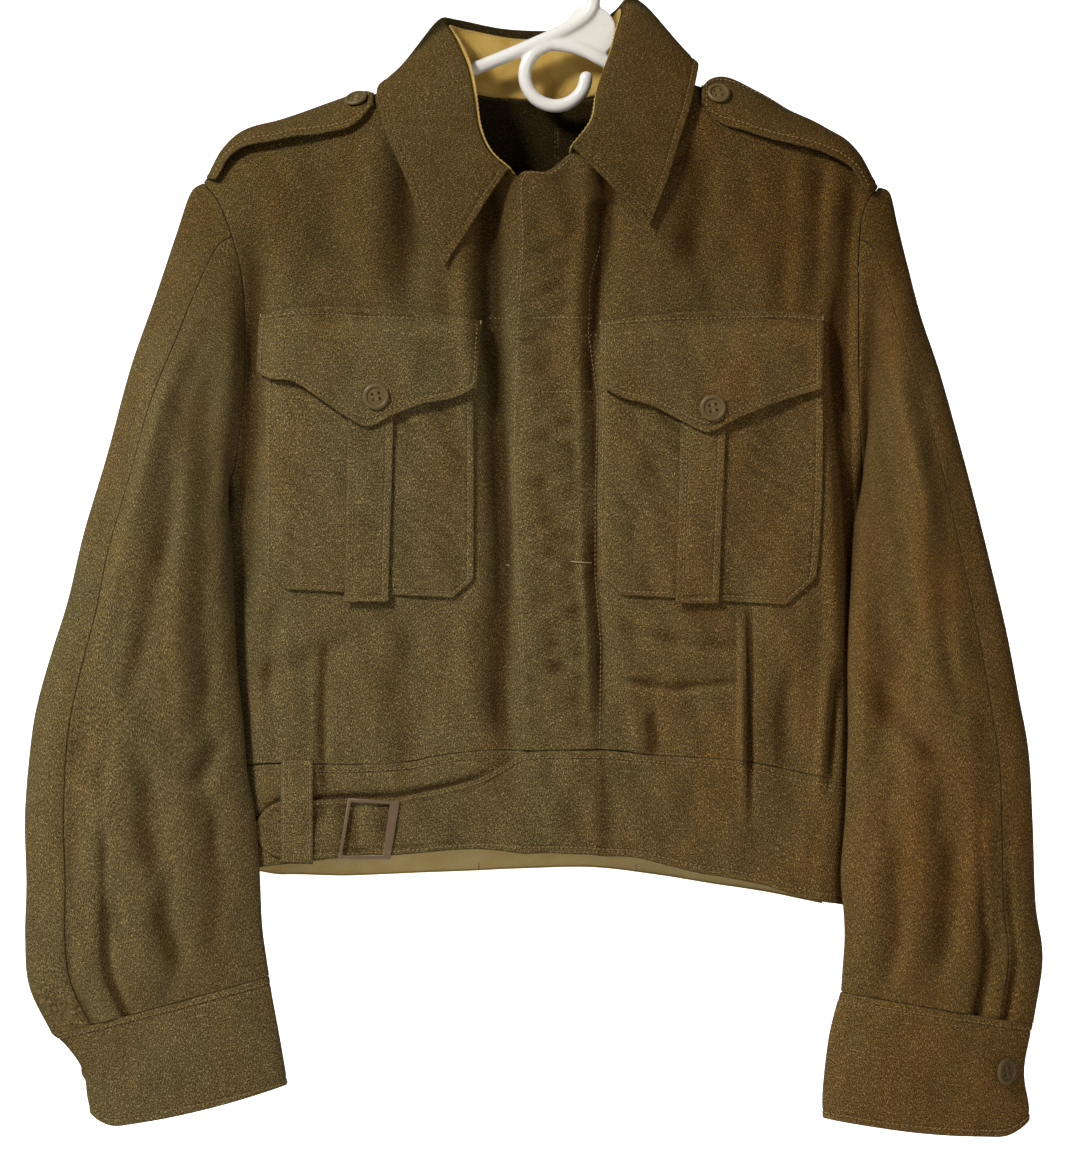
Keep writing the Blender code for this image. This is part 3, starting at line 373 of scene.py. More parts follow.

# %% [markdown]
# ## Laying cloth
# Every cut piece is a grid of squares, like the weave itself, laid where the piece hangs. The
# grid comes from Blender's own grid operator. Each of its points is then moved to its place, and
# Solidify gives the cloth its thickness. The lengths along the rows and columns become the UV map,
# so the weave keeps its size everywhere. Two attributes go with it: the distance to the nearest
# cut edge, by which the finish paints a shadow along the rim of a piece, and how far each point
# lies below the cloth around it, by which it paints shade into hollows and light onto high folds.

# %% Smooth tables
def through(table):
    """A smooth function through a table, whose first column is the place of each row."""
    table = np.array(table, float)
    place, value = table[:, 0], table[:, 1:]
    slope = np.gradient(value, place, axis=0)

    def at(where):
        where = np.clip(np.asarray(where, float), place[0], place[-1])
        k = np.clip(np.searchsorted(place, where, side="right") - 1, 0, len(place) - 2)
        step = (place[k + 1] - place[k])[..., None]
        f = (where - place[k])[..., None] / step
        result = (1 + 2 * f) * (1 - f) ** 2 * value[k] + f * (1 - f) ** 2 * step * slope[k]
        result += f**2 * (3 - 2 * f) * value[k + 1] - f**2 * (1 - f) * step * slope[k + 1]
        return np.moveaxis(result, -1, 0) if value.shape[1] > 1 else result[..., 0]

    return at


def rise(where, start, end):
    """0 before start, 1 after end, and smooth between."""
    f = np.clip((where - start) / (end - start), 0, 1)
    return f * f * (3 - 2 * f)


def hump(where, middle, width):
    """1 at the middle, fading away over the width on both sides."""
    return np.exp(-(((where - middle) / width) ** 2))


def unit(vectors):
    return vectors / np.maximum(np.linalg.norm(vectors, axis=-1, keepdims=True), 1e-9)


SEAM = (0, 0.3, 0.8, 1.5, 2.4)  # places of the points beside an edge, in millimetres from it
STITCHED = (*SEAM, 3.6, 4.6, 5.2, 5.8, 6.4, 7.4)  # the same, with a stitched groove
GROOVE = 5.5  # of a line of stitches from its edge


def spread(length, step, edges=SEAM, start=True):
    """Shares of a length, a step apart and closer together at cut edges."""
    first = np.array(edges if start else (0,), float)
    last = np.array(edges, float)
    count = max(2, round((length - first[-1] - last[-1]) / step))
    middle = np.linspace(first[-1], length - last[-1], count + 1)
    return np.concatenate([first[:-1], middle, length - last[-2::-1]]) / length


def between_seams(length, step):
    """The same between two edges with stitched grooves."""
    return spread(length, step, STITCHED)


# %% A piece of cloth
collection = bpy.data.collections.new("jacket")
scene.collection.children.link(collection)
FAR = 60.0  # the distance from an edge that a piece without cut edges is given
ROLL = 1.3  # radius of a cut edge's softly rolled rim
ROLL_SHARE = 0.92
GROOVE_DEPTH, GROOVE_WIDTH = 0.55, 0.9
HOLLOW_SIZES = ((14, 0.8), (4, 2))  # reach in millimetres and weight of wide and narrow hollows
laid_cloth = {}  # each piece's points and normals, for its stitches


def lengths(face, axis):
    """How far each point lies along its row or column."""
    steps = np.linalg.norm(np.diff(face, axis=axis), axis=-1)
    start = np.zeros_like(np.take(steps, [0], axis=axis))
    return np.concatenate([start, np.cumsum(steps, axis=axis)], axis=axis)


def face_normals(face, outward):
    """Unit normals of a grid, on the side that outward points to."""
    down = np.gradient(face, axis=0)
    along = np.gradient(face, axis=1)
    normals = unit(np.cross(down, along))
    return normals if (normals * outward).sum() > 0 else -normals


def edge_distance(face, wrap, ends):
    """Distance of each point from the nearest cut edge."""
    along, down = lengths(face, 1), lengths(face, 0)
    distance = np.full(along.shape, FAR)
    if not wrap:
        distance = np.minimum(distance, np.minimum(along, along[:, -1:] - along))
    if "first" in ends:
        distance = np.minimum(distance, down)
    if "last" in ends:
        distance = np.minimum(distance, down[-1:] - down)
    return distance


def hollow_depth(face, normals, reach):
    """How far each point lies below the cloth within reach of it."""
    level = face
    for axis in (0, 1):
        step = lengths(face, axis).max() / (face.shape[axis] - 1)
        half = min(max(1, round(reach / step)), face.shape[axis] - 1)
        width = [(half, half) if k == axis else (0, 0) for k in range(3)]
        level = np.pad(level, width, mode="reflect", reflect_type="odd")
        level = np.lib.stride_tricks.sliding_window_view(level, 2 * half + 1, axis).mean(axis=-1)
    return ((level - face) * normals).sum(axis=-1)


def grid_mesh(name, rows, columns):
    """A mesh of squares, with the row and the column of each of its points."""
    bm = bmesh.new()
    bmesh.ops.create_grid(bm, x_segments=columns - 1, y_segments=rows - 1, size=1)
    mesh = bpy.data.meshes.new(name)
    bm.to_mesh(mesh)
    bm.free()
    place = np.empty(len(mesh.vertices) * 3)
    mesh.vertices.foreach_get("co", place)
    share = (place.reshape(-1, 3) + 1) / 2
    column = np.rint(share[:, 0] * (columns - 1)).astype(int)
    return mesh, np.rint(share[:, 1] * (rows - 1)).astype(int), column


def lay_cloth(
    name, face, outward, finish, thickness=1.7, wrap=False, groove=0.0, ends=("first", "last")
):
    """A sheet of cloth along a grid of points in millimetres, its edges softly rolled back."""
    normals = face_normals(face, outward)
    if wrap:
        normals[:, 0] = normals[:, -1] = unit(normals[:, 0] + normals[:, -1])
    distance = edge_distance(face, wrap, ends)
    short = np.clip(ROLL - distance, 0, ROLL)
    sink = (ROLL - np.sqrt(ROLL**2 - short**2)) * ROLL_SHARE
    if groove:
        sink = sink + GROOVE_DEPTH * hump(distance, groove, GROOVE_WIDTH)
    laid = face - normals * sink[..., None]
    mesh, row, column = grid_mesh(name, *laid.shape[:2])
    mesh.vertices.foreach_set("co", (laid[row, column] * MM).ravel())
    corner = np.empty(len(mesh.loops), dtype=int)
    mesh.loops.foreach_get("vertex_index", corner)
    along, down = lengths(face, 1), lengths(face, 0)
    along = along - along[:, laid.shape[1] // 2, None]
    flat = np.stack([along, down], axis=-1)[row, column] * MM
    mesh.uv_layers.new(name="cloth").data.foreach_set("uv", flat[corner].ravel())
    hollow = sum(hollow_depth(laid, normals, reach) * weight for reach, weight in HOLLOW_SIZES)
    for key, values in (("edge", distance), ("hollow", hollow)):
        kept = mesh.attributes.new(key, "FLOAT", "POINT")
        kept.data.foreach_set("value", values[row, column])
    bm = bmesh.new()
    bm.from_mesh(mesh)
    if wrap:
        bmesh.ops.remove_doubles(bm, verts=bm.verts, dist=2 * MERGE)
    bm.normal_update()
    side = sum(
        polygon.normal.dot(Vector(normals[r, c]))
        for polygon, r, c in zip(bm.faces, row[corner[::4]], column[corner[::4]])
    )
    if side < 0:
        bmesh.ops.reverse_faces(bm, faces=bm.faces)
    for polygon in bm.faces:
        polygon.smooth = True
    bm.to_mesh(mesh)
    bm.free()
    mesh.materials.append(finish)
    piece = bpy.data.objects.new(name, mesh)
    collection.objects.link(piece)
    wall = piece.modifiers.new("thickness", "SOLIDIFY")
    wall.thickness = thickness * MM
    wall.offset = -1
    laid_cloth[name] = (laid, normals)
    return piece


# %% [markdown]
# ### Stitches
# A machine stitch is a short bar of thread that sinks a little into the cloth, then a gap where
# it dives under. One small sphere, drawn out along the seam, is repeated for each. A line of
# stitches follows the cloth's own points at a set distance from its edge.

# %% Sewing
STITCH_RISE = 0.3  # of a stitch's middle over the cloth


def at_stops(place, values, stops):
    """Values in three columns, known at the places of a line, between them at its stops."""
    return np.stack([np.interp(stops, place, values[:, k]) for k in range(3)], axis=-1)


def sew(name, lines, finish=thread, pitch=3.3, length=2.4, thick=0.8):
    """One piece of thread: short bars along lines of points and normals."""
    bm = bmesh.new()
    for points, normals in lines:
        place = lengths(np.asarray(points)[None], 1)[0]
        count = max(2, int(place[-1] / pitch))
        stops = (np.arange(count) + 0.5) * place[-1] / count
        at, ahead, before = (at_stops(place, points, stops + shift) for shift in (0, 0.5, -0.5))
        up = at_stops(place, normals, stops)
        for spot, course, normal in zip(at, unit(ahead - before), unit(up)):
            across = np.cross(normal, course)
            turn = Matrix(np.stack([course, across, normal], axis=-1)).to_4x4()
            size = Matrix.Diagonal((length / 2 * MM, thick / 2 * MM, thick / 2 * MM, 1))
            seat = Matrix.Translation(Vector(spot + normal * STITCH_RISE) * MM)
            bar = seat @ turn @ size
            bmesh.ops.create_uvsphere(bm, u_segments=5, v_segments=4, radius=1, matrix=bar)
    return small_piece(name, bm, finish)


def small_piece(name, bm, finish, smooth=True):
    """An object from a bmesh in metres."""
    for polygon in bm.faces:
        polygon.smooth = smooth
    mesh = bpy.data.meshes.new(name)
    bm.to_mesh(mesh)
    bm.free()
    mesh.materials.append(finish)
    piece = bpy.data.objects.new(name, mesh)
    collection.objects.link(piece)
    return piece


ALL_SIDES = ("left", "right", "first", "last")


def edge_lines(name, away, sides=ALL_SIDES, at_ends=0.0):
    """Lines of points on a laid piece, away from the named edges and short of their ends."""
    laid, normals = laid_cloth[name]
    along, down = lengths(laid, 1), lengths(laid, 0)
    lines = []
    width, height = along[:, -1].mean(), down[-1].mean()
    for side in sides:
        if side in ("left", "right"):
            target = away if side == "left" else width - away
            column = int(np.abs(along.mean(axis=0) - target).argmin())
            line, up, measure = laid[:, column], normals[:, column], down[:, column]
        else:
            target = away if side == "first" else height - away
            row = int(np.abs(down.mean(axis=1) - target).argmin())
            line, up, measure = laid[row], normals[row], along[row]
        keep = (measure >= at_ends) & (measure <= measure[-1] - at_ends)
        lines.append((line[keep], up[keep]))
    return lines


# %% Hanging a sheet
FLAT_STEP = 5  # millimetres that a flat size is rounded up to


def hang(piece, node, finish_with=()):
    """Hide the solid that a sheet stands for, hang the sheet on the root and print its flat size."""
    laid = laid_cloth[piece.name][0]
    along, down = lengths(laid, 1)[:, -1], lengths(laid, 0)[-1]
    step = np.cross(laid[1:, :-1] - laid[:-1, :-1], laid[:-1, 1:] - laid[:-1, :-1])
    other = np.cross(laid[1:, 1:] - laid[1:, :-1], laid[1:, 1:] - laid[:-1, 1:])
    area = (np.linalg.norm(step, axis=-1) + np.linalg.norm(other, axis=-1)).sum() / 2
    flat = [math.ceil(size.max() / FLAT_STEP) * FLAT_STEP * MM for size in (along, down)]
    area = min(area * MM * MM, flat[0] * flat[1])
    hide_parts(node)
    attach(piece, "root")
    print(f"{piece.name}: {flat[0] * 1000:.0f} x {flat[1] * 1000:.0f} mm, {area * 1e4:.0f} cm2")


def trim(piece, slot, *nodes):
    """A small piece that rides on the jacket and may stand for solids."""
    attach(piece, "root")
    if nodes:
        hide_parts(*nodes)
    return piece


def nearest_on(name, place):
    """The point of a laid piece that is nearest to a place, and its normal."""
    laid, normals = laid_cloth[name]
    nearest = np.linalg.norm(laid - place, axis=-1).argmin()
    row, column = np.unravel_index(nearest, laid.shape[:2])
    return laid[row, column], normals[row, column]


def stitched(node, sides, away=GROOVE, at_ends=0.0, thick=0.8):
    """Stitches along the named edges of the sheet that stands for a node."""
    lines = edge_lines(f"cloth_{node}", away, sides, at_ends)
    return trim(sew(f"{node}_stitches", lines, thick=thick), "serge")


# %% [markdown]
# ## The body
# Front and back panels meet along the shoulder seams and side seams, where the cloth turns over
# in a rounded fold. Between them the front swells by 38 mm and the back by 30 mm, because serge
# this thick won't lie flat on itself. A few numbers and tables give that form: the outline of the
# shoulders, of the sides and of the waist, and the ends of each row of a panel.

# %% Sizes of the body, in millimetres
SERGE = 2.0  # one ply of wool serge
PLIES = 2.6  # plies pressed together, as in flaps, straps and the collar
LAYER_GAP = 0.5  # between a piece and the one it lies on
LAYER = SERGE + LAYER_GAP  # how far a ply lifts what lies on it
BAND_DROP = 0.8  # below the waist seam
FRONT_DEPTH = 38.0
BACK_DEPTH = 30.0
SHOULDER_ROUND = 8.0  # radius over the shoulder seam
SIDE_ROUND = 27.0  # width of the rounding at a side seam
BODY_CENTRE = -13.0
FLY_WIDTH = 56.0
FLY_STEP = 8.0
UNDERARM_ROW = 11  # panel row where the armhole ends and the side seam starts
NECK_ROW = 5  # last panel row on the collar seam
STRAIGHT_ROW = 8  # first panel row that no longer bends with the shoulder seam
SHOULDER_LINE = [  # x, z
    (-258, -190), (-239, -167), (-203, -150), (-160, -135), (-117, -120), (-91, -111),
    (-60, -88), (-18, -60), (22, -82), (54, -107), (97, -121), (126, -129), (157, -141),
    (187, -156), (205, -168), (225, -193),
]
BODY_SIDES = [  # z, left x, right x
    (-710, -231, 205), (-618, -236, 210), (-605, -237, 210), (-520, -239, 212),
    (-460, -240, 213), (-425, -240.5, 213.5), (-411, -240, 213), (-360, -262, 232),
    (-300, -301, 262), (-190, -340, 305),
]
FRONT_WAIST = [  # x, z
    (-237, -605), (-200, -603), (-153, -604), (-111, -602), (-91, -598), (-60, -594),
    (-17, -594), (37, -594), (60, -597), (91, -599), (130, -602), (169, -610), (210, -618),
]
BACK_WAIST = [(-237, -605), (-120, -600), (0, -599), (110, -605), (210, -618)]  # x, z
FRONT_LEFT_ROWS = [  # inner x, inner z, outer x, outer z
    (-91, -111, -258, -190), (-90, -116, -255, -194), (-86, -129, -248, -202),
    (-75, -147, -242, -214), (-58, -167, -236, -230), (-36, -186, -231, -247),
    (-10, -191, -228, -266), (8, -193, -227, -290), (8, -230, -227, -320),
    (8, -300, -229, -355), (8, -370, -234, -392), (8, -411, -240, -411),
    (8, -460, -240, -462), (8, -520, -239, -525), (8, -565, -238, -573),
    (8, -594, -237, -605),
]
FRONT_RIGHT_ROWS = [
    (54, -107, 225, -193), (52, -112, 221, -198), (46, -124, 216, -205),
    (36, -140, 212, -216), (20, -157, 210, -232), (4, -171, 209, -249),
    (-12, -184, 209, -268), (-33, -188, 209, -291), (-33, -235, 209, -320),
    (-37, -300, 210, -355), (-39, -370, 212, -392), (-38, -411, 213, -411),
    (-36, -460, 213, -462), (-33, -520, 212, -525), (-31, -565, 211, -575),
    (-30, -594, 210, -618),
]
BACK_LEFT_ROWS = [
    (-91, -111, -258, -190), (-88, -115, -256, -195), (-80, -121, -251, -204),
    (-62, -126, -246, -217), (-36, -129, -242, -233), (-5, -130, -239, -250),
    (-5, -150, -237, -270), (-5, -180, -236, -293), (-5, -230, -236, -322),
    (-5, -290, -236, -356), (-5, -360, -237, -392),
]
BACK_RIGHT_ROWS = [
    (54, -107, 225, -193), (51, -112, 222, -199), (43, -119, 218, -207),
    (30, -125, 215, -219), (14, -129, 213, -235), (-5, -130, 212, -252),
    (-5, -150, 211, -272), (-5, -180, 210, -295), (-5, -230, 210, -323),
    (-5, -290, 210, -357), (-5, -360, 211, -392),
]
for k, z in enumerate((-411, -460, -520, -565, -599), UNDERARM_ROW):
    BACK_LEFT_ROWS.append((-5, z, *FRONT_LEFT_ROWS[k][2:]))  # the side seam is shared
    BACK_RIGHT_ROWS.append((-5, z, *FRONT_RIGHT_ROWS[k][2:]))
WAIST_TUCKS = [  # x, z of the top, z of the foot, height, width
    (125.0, -515.0, -602.0, 3.5, 4.5), (-166.0, -545.0, -604.0, 2.0, 5.0),
]

# %% Form of the body
shoulder = through(SHOULDER_LINE)
body_sides = through(BODY_SIDES)
front_waist = through(FRONT_WAIST)
back_waist = through(BACK_WAIST)


def body_depth(x, z, fullness):
    """How far the cloth stands off the plane of the side seams and shoulder seams."""
    left, right = body_sides(z)
    inward = np.where(x < BODY_CENTRE, x - left, right - x)
    edge = np.clip(inward / SIDE_ROUND, 0, 1)
    over = np.sqrt(2 * SHOULDER_ROUND * np.maximum(shoulder(x) - z, 0))
    return fullness * np.tanh(over / fullness) * np.sqrt(edge * (2 - edge))


def tuck_height(x, z):
    """Ridges of the waist tucks, which fade out upward."""
    height = 0.0
    for middle, top, foot, ridge, width in WAIST_TUCKS:
        height = height + ridge * hump(x, middle, width) * rise(z, top, foot)
    return height


# %% [markdown]
# ### Folds of the body
# Heavy cloth folds in long soft lines: beside the armholes, under the collar points and above the
# waist, where the tucks let go. Each is a line of points with a width and a depth, cut as a
# trough whose far bank stands up a little, and it fades at both ends. A negative depth is a ridge.

# %% Folds
FRONT_FOLDS = [  # points x, z along the line; width, depth, bank
    ([(160, -130), (160, -210), (150, -300)], 12, 1.1, 0.3),
    ([(182, -150), (178, -225), (182, -330)], 9, 1.5, 0.4),
    ([(205, -170), (199, -240), (196, -340)], 7, 2.0, 0.3),
    ([(188, -220), (194, -330), (201, -420), (206, -520), (206, -660)], 7, 5.5, 0.15),
    ([(96, -150), (92, -205), (88, -268)], 14, 2.2, 0.3),
    ([(32, -120), (31, -200), (24, -265), (18, -360)], 8, 4.0, 0.3),
    ([(18, -300), (22, -360), (22, -430)], 5, 2.2, 0.3),
    ([(24, -400), (21, -470), (26, -520), (25, -592)], 5, 2.4, 0.4),
    ([(-104, -120), (-113, -200), (-116, -300)], 13, 3.6, 0.2),
    ([(-165, -160), (-172, -215), (-166, -272)], 16, 1.6, 0.3),
    ([(-221, -200), (-222, -300), (-225, -380), (-228, -500), (-229, -660)], 12, 6.5, 0.1),
    ([(-205, -470), (-212, -520), (-216, -575)], 8, 2.2, 0.3),
    ([(-50, -140), (-50, -240), (-48, -330), (-44, -450), (-42, -660)], 10, 5.8, 0.15),
    ([(-62, -150), (-58, -250), (-56, -350)], 9, 3.2, 0.2),
    ([(-58, -470), (-52, -540), (-44, -592)], 10, 2.0, 0.3),
    ([(20, -541), (78, -550), (136, -543)], 3.5, 0.8, 0.6),
    ([(30, -505), (92, -519), (136, -520)], 5, 0.5, 0.5),
    ([(130, -488), (131, -545), (131, -660)], 2.4, 1.9, 0.7),
    ([(158, -520), (152, -575), (156, -640)], 8, 0.9, 0.3),
    ([(196, -525), (192, -565), (186, -640)], 4, 2.6, 0.5),
    ([(60, -560), (62, -590), (58, -600)], 6, 1.4, 0.3),
    ([(-170, -510), (-172, -560), (-171, -650)], 3.5, 1.0, 0.5),
    ([(-205, -510), (-212, -560), (-206, -640)], 8, 1.2, 0.3),
    ([(-110, -490), (-116, -550), (-108, -640)], 12, 0.9, 0.3),
    ([(-130, -500), (-182, -530), (-236, -545)], 9, 0.8, 0.3),
]
BACK_FOLDS = [
    ([(-200, -200), (-180, -300), (-190, -420)], 12, 3.0, 0.3),
    ([(-120, -170), (-105, -280), (-120, -400)], 18, 2.2, 0.3),
    ([(-60, -400), (-70, -520), (-62, -680)], 14, 1.9, 0.3),
    ([(-150, -400), (-160, -530), (-150, -680)], 13, 2.0, 0.3),
    ([(60, -170), (75, -290), (62, -420)], 18, 2.2, 0.3),
    ([(178, -210), (160, -310), (168, -430)], 12, 3.0, 0.3),
    ([(60, -400), (52, -520), (60, -680)], 12, 1.9, 0.3),
    ([(130, -390), (140, -530), (132, -680)], 13, 2.0, 0.3),
    ([(-215, -555), (-110, -572), (0, -552)], 10, 0.5, 0.4),
]
FOLD_STRENGTH = 2.3  # the depths in the tables are multiplied by this
BANK = 1.8  # how far from a fold's line its bank stands, in widths


def folds_depth(x, z, folds):
    """How far the folds sink the cloth at x and z."""
    x, z = np.broadcast_arrays(np.asarray(x, float), np.asarray(z, float))
    total = np.zeros(x.shape)
    for points, width, depth, bank in folds:
        nearest = np.full(x.shape, 1e9)
        signed = np.zeros(x.shape)
        place = np.zeros(x.shape)
        for k, ((ax, az), (bx, bz)) in enumerate(zip(points, points[1:])):
            dx, dz = bx - ax, bz - az
            along = np.clip(((x - ax) * dx + (z - az) * dz) / (dx * dx + dz * dz), 0, 1)
            off_x, off_z = x - ax - along * dx, z - az - along * dz
            away = np.hypot(off_x, off_z)
            side = np.sign(off_x * dz - off_z * dx)
            closer = away < nearest
            nearest = np.where(closer, away, nearest)
            signed = np.where(closer, away * side, signed)
            place = np.where(closer, (k + along) / (len(points) - 1), place)
        fade = rise(place, 0, 0.3) * (1 - rise(place, 0.7, 1))
        across = signed / width
        total += depth * (hump(across, 0, 1) - bank * hump(across, BANK, 1)) * fade
    return total * FOLD_STRENGTH


def ripple(x, z, seed, size, tall, height):
    """Slow unevenness of the cloth, size wide and tall high."""
    chance = np.random.default_rng(seed)
    total = 0.0
    for _ in range(7):
        turn = chance.uniform(0, 2 * math.pi)
        wide = size * chance.uniform(0.7, 1.5)
        long = tall * chance.uniform(0.7, 1.5) * chance.choice((-1, 1))
        total = total + np.sin(2 * math.pi * (x / wide + z / long) + turn)
    return total * height / 4


def front_height(x, z):
    """How far the front stands off the plane of the side seams, folds and all."""
    depth = body_depth(x, z, FRONT_DEPTH)
    free = rise(depth, 2, 20)
    uneven = ripple(x, z, 3, 70, 260, 1.3) + ripple(x, z, 4, 26, 60, 0.5)
    tucks = tuck_height(x, z) * rise(z, -608, -598)
    return depth + tucks + free * (uneven - folds_depth(x, z, FRONT_FOLDS))


def back_height(x, z):
    depth = body_depth(x, z, BACK_DEPTH)
    free = rise(depth, 2, 20)
    uneven = ripple(x, z, 5, 80, 260, 1.5) + ripple(x, z, 6, 30, 70, 0.5)
    return depth + free * (uneven - folds_depth(x, z, BACK_FOLDS))


def on_front(x, z, lift=0.0):
    """Points on the front in millimetres, lifted off it."""
    x, z, lift = np.broadcast_arrays(x, z, lift)
    return np.stack([x, -(front_height(x, z) + lift), z], axis=-1)


def on_back(x, z):
    x, z = np.broadcast_arrays(x, z)
    return np.stack([x, back_height(x, z), z], axis=-1)


# %% Rows of a panel
def panel_ends(rows, numbers):
    """Inner x, inner z, outer x and outer z of a panel at fractional row numbers."""
    ends = through(np.column_stack([np.arange(len(rows)), np.array(rows, float)]))(numbers)
    inner_x, inner_z, outer_x, outer_z = ends
    side = body_sides(outer_z)[0 if rows[0][2] < BODY_CENTRE else 1]
    below = rise(numbers, UNDERARM_ROW - 0.5, UNDERARM_ROW)
    return inner_x, inner_z, outer_x + below * (side - outer_x), outer_z


def panel_grid(rows, waist, numbers, shares):
    """x, z and the distance from the inner edge over a panel."""
    inner_x, inner_z, outer_x, outer_z = (end[:, None] for end in panel_ends(rows, numbers))
    number, across = numbers[:, None], shares[None]
    x = inner_x + across * (outer_x - inner_x)
    inner_root = np.sqrt(np.maximum(shoulder(inner_x) - inner_z, 0))
    outer_root = np.sqrt(np.maximum(shoulder(outer_x) - outer_z, 0))
    under_shoulder = shoulder(x) - (inner_root + across * (outer_root - inner_root)) ** 2
    sag = waist(x) - waist(inner_x) - across * (waist(outer_x) - waist(inner_x))
    straight = inner_z + across * (outer_z - inner_z)
    straight = straight + sag * rise(number, STRAIGHT_ROW, len(rows) - 1)
    down = rise(number, 0, STRAIGHT_ROW)
    return x, under_shoulder * (1 - down) + straight * down, across * np.abs(outer_x - inner_x)


def row_numbers(rows, step):
    """Fractional row numbers, about a step apart down the panel and close at its ends."""
    fine = np.linspace(0, len(rows) - 1, 800)
    inner_x, inner_z, outer_x, outer_z = panel_ends(rows, fine)
    middle = np.stack([(inner_x + outer_x) / 2, (inner_z + outer_z) / 2])
    place = np.concatenate([[0], np.cumsum(np.hypot(*np.diff(middle, axis=1)))])
    shares = spread(place[-1], step)
    return np.interp(shares * place[-1], place, fine)


def fly_lift(along, z):
    """The right front steps up near its edge, where it laps over the left one."""
    return LAYER * (1 - rise(along, FLY_WIDTH - FLY_STEP, FLY_WIDTH)) * (1 - rise(z, -180, -150))


TUCK = ((0.08, 0.35), (0.16, 0.8), (0.3, 1.0), (1.0, 1.1))  # shares of its drop and its sink


def tuck_under(face, inward, drop=7.0, sink=2.6):
    """The grid with its last rows going on behind the piece that it is sewn to."""
    down = unit(face[-1] - face[-3])
    more = [face[-1] + down * drop * share + inward * sink * deep for share, deep in TUCK]
    return np.concatenate([face, more])


# %% Helpers for the panels
FRONT_WAY, BACK_WAY = np.array((0, -1.0, 0)), np.array((0, 1.0, 0))  # out of the cloth
PANEL_STEP, BACK_STEP = 2.6, 3.8  # between the points of the fronts and of the backs
PANEL_WIDTH, RIGHT_WIDTH = 230.0, 238.0  # at the middle of a panel
FLY_BOW = 2.0  # how far the free edge of the fly bows out
panels = {}


def lay_panel(name, face, way):
    """A panel of the body, whose last rows go on under the waistband."""
    face = tuck_under(face, -way)
    panels[name] = lay_cloth(f"cloth_{name}", face, way, serge, ends=("first",))


def fly_relief(along, z):
    """Step, bow and small creases of the fly."""
    bow = FLY_BOW * (1 - rise(along, 2, 26)) * rise(-z, 190, 240) * (1 - rise(-z, 560, 592))
    creases = ripple(z, along * 3, 12, 19, 90, 0.55) * rise(FLY_WIDTH + 4 - along, 0, 12)
    return fly_lift(along, z) + bow + creases * rise(-z, 200, 240)


# %% [markdown]
# ### Laying the panels
# The right front carries the fly, so it has closer points there, where the cloth steps up over
# the left front, bows out a little and creases along its hidden buttons. The backs are plainer.

# %% Laying the panels
shares = spread(PANEL_WIDTH, PANEL_STEP)
numbers = row_numbers(FRONT_LEFT_ROWS, PANEL_STEP)
x, z, _ = panel_grid(FRONT_LEFT_ROWS, front_waist, numbers, shares)
lay_panel("front_left", on_front(x, z), FRONT_WAY)
near_fly = np.linspace(FLY_WIDTH - FLY_STEP - 2, FLY_WIDTH + 2, 9) / RIGHT_WIDTH
shares = np.concatenate([spread(PANEL_WIDTH, PANEL_STEP, STITCHED), near_fly])
numbers = row_numbers(FRONT_RIGHT_ROWS, PANEL_STEP)
x, z, from_fly = panel_grid(FRONT_RIGHT_ROWS, front_waist, numbers, np.unique(np.round(shares, 6)))
lay_panel("front_right", on_front(x, z, fly_relief(from_fly, z)), FRONT_WAY)
for side, rows in (("left", BACK_LEFT_ROWS), ("right", BACK_RIGHT_ROWS)):
    shares = spread(PANEL_WIDTH, BACK_STEP)
    x, z, _ = panel_grid(rows, back_waist, row_numbers(rows, BACK_STEP), shares)
    lay_panel(f"back_{side}", on_back(x, z), BACK_WAY)
print("panels:", *panels)

# %% [markdown]
# ### Seams of the fly and the pocket edge
# The fly is stitched down along its inside and crossed by short rows of stitches and bars, where
# the plies of the hidden buttonhole strip are caught.

# %% Seams of the body
def front_line(points, lift, count=60):
    """A line of points and normals on the front, through a few places x, z."""
    places = np.array(points, float)
    gone = lengths(places[None], 1)[0]
    stops = np.linspace(0, gone[-1], count)
    x, z = np.interp(stops, gone, places[:, 0]), np.interp(stops, gone, places[:, 1])
    face = on_front(x, z, lift)
    across = on_front(x + 1, z, lift) - face
    up = on_front(x, z + 1, lift) - face
    return face, unit(np.cross(across, up))


FLY_SEAM = [
    (25.5, -236), (18, -262), (17, -300), (24, -345), (22, -415), (22, -470), (26, -520),
    (25, -590),
]
fly_lines = [
    front_line([(-54, -287.5), (-40, -288.5)], 0.4, 10),
    front_line([(-33, -288.5), (20, -288.2)], LAYER + 0.4),
    front_line([(14, -300.5), (25, -300.3)], LAYER + 0.2, 10),
    front_line([(-17, -341), (20, -340.5)], LAYER + 0.4),
    front_line(FLY_SEAM, 1.2, 200),
    *edge_lines("cloth_front_right", GROOVE, ("left",), 70),
]
bar_lines = [
    front_line([(-41, -463), (-38.5, -464)], 0.6, 5),
    front_line([(5, -461), (19, -462)], LAYER + 0.6, 8),
]
fly_thread = trim(sew("fly_stitches", fly_lines), "serge")
fly_bars = trim(sew("fly_bars", bar_lines, pale_thread, pitch=1.2, thick=0.9), "serge")
for name, panel in panels.items():
    hang(panel, name, [fly_thread, fly_bars] if name == "front_right" else ())

# %% [markdown]
# ## Sleeves and cuffs
# A two-piece sleeve is a tube from the armhole to the cuff, with one seam down the front of the
# arm's outer edge and one behind. Its rings start on the armhole itself and turn level on the
# way down. The fullness is pleated into the cuff, so two pleats run up from it and fade, and the
# rest of the sleeve falls in long folds where it hangs beside the body.

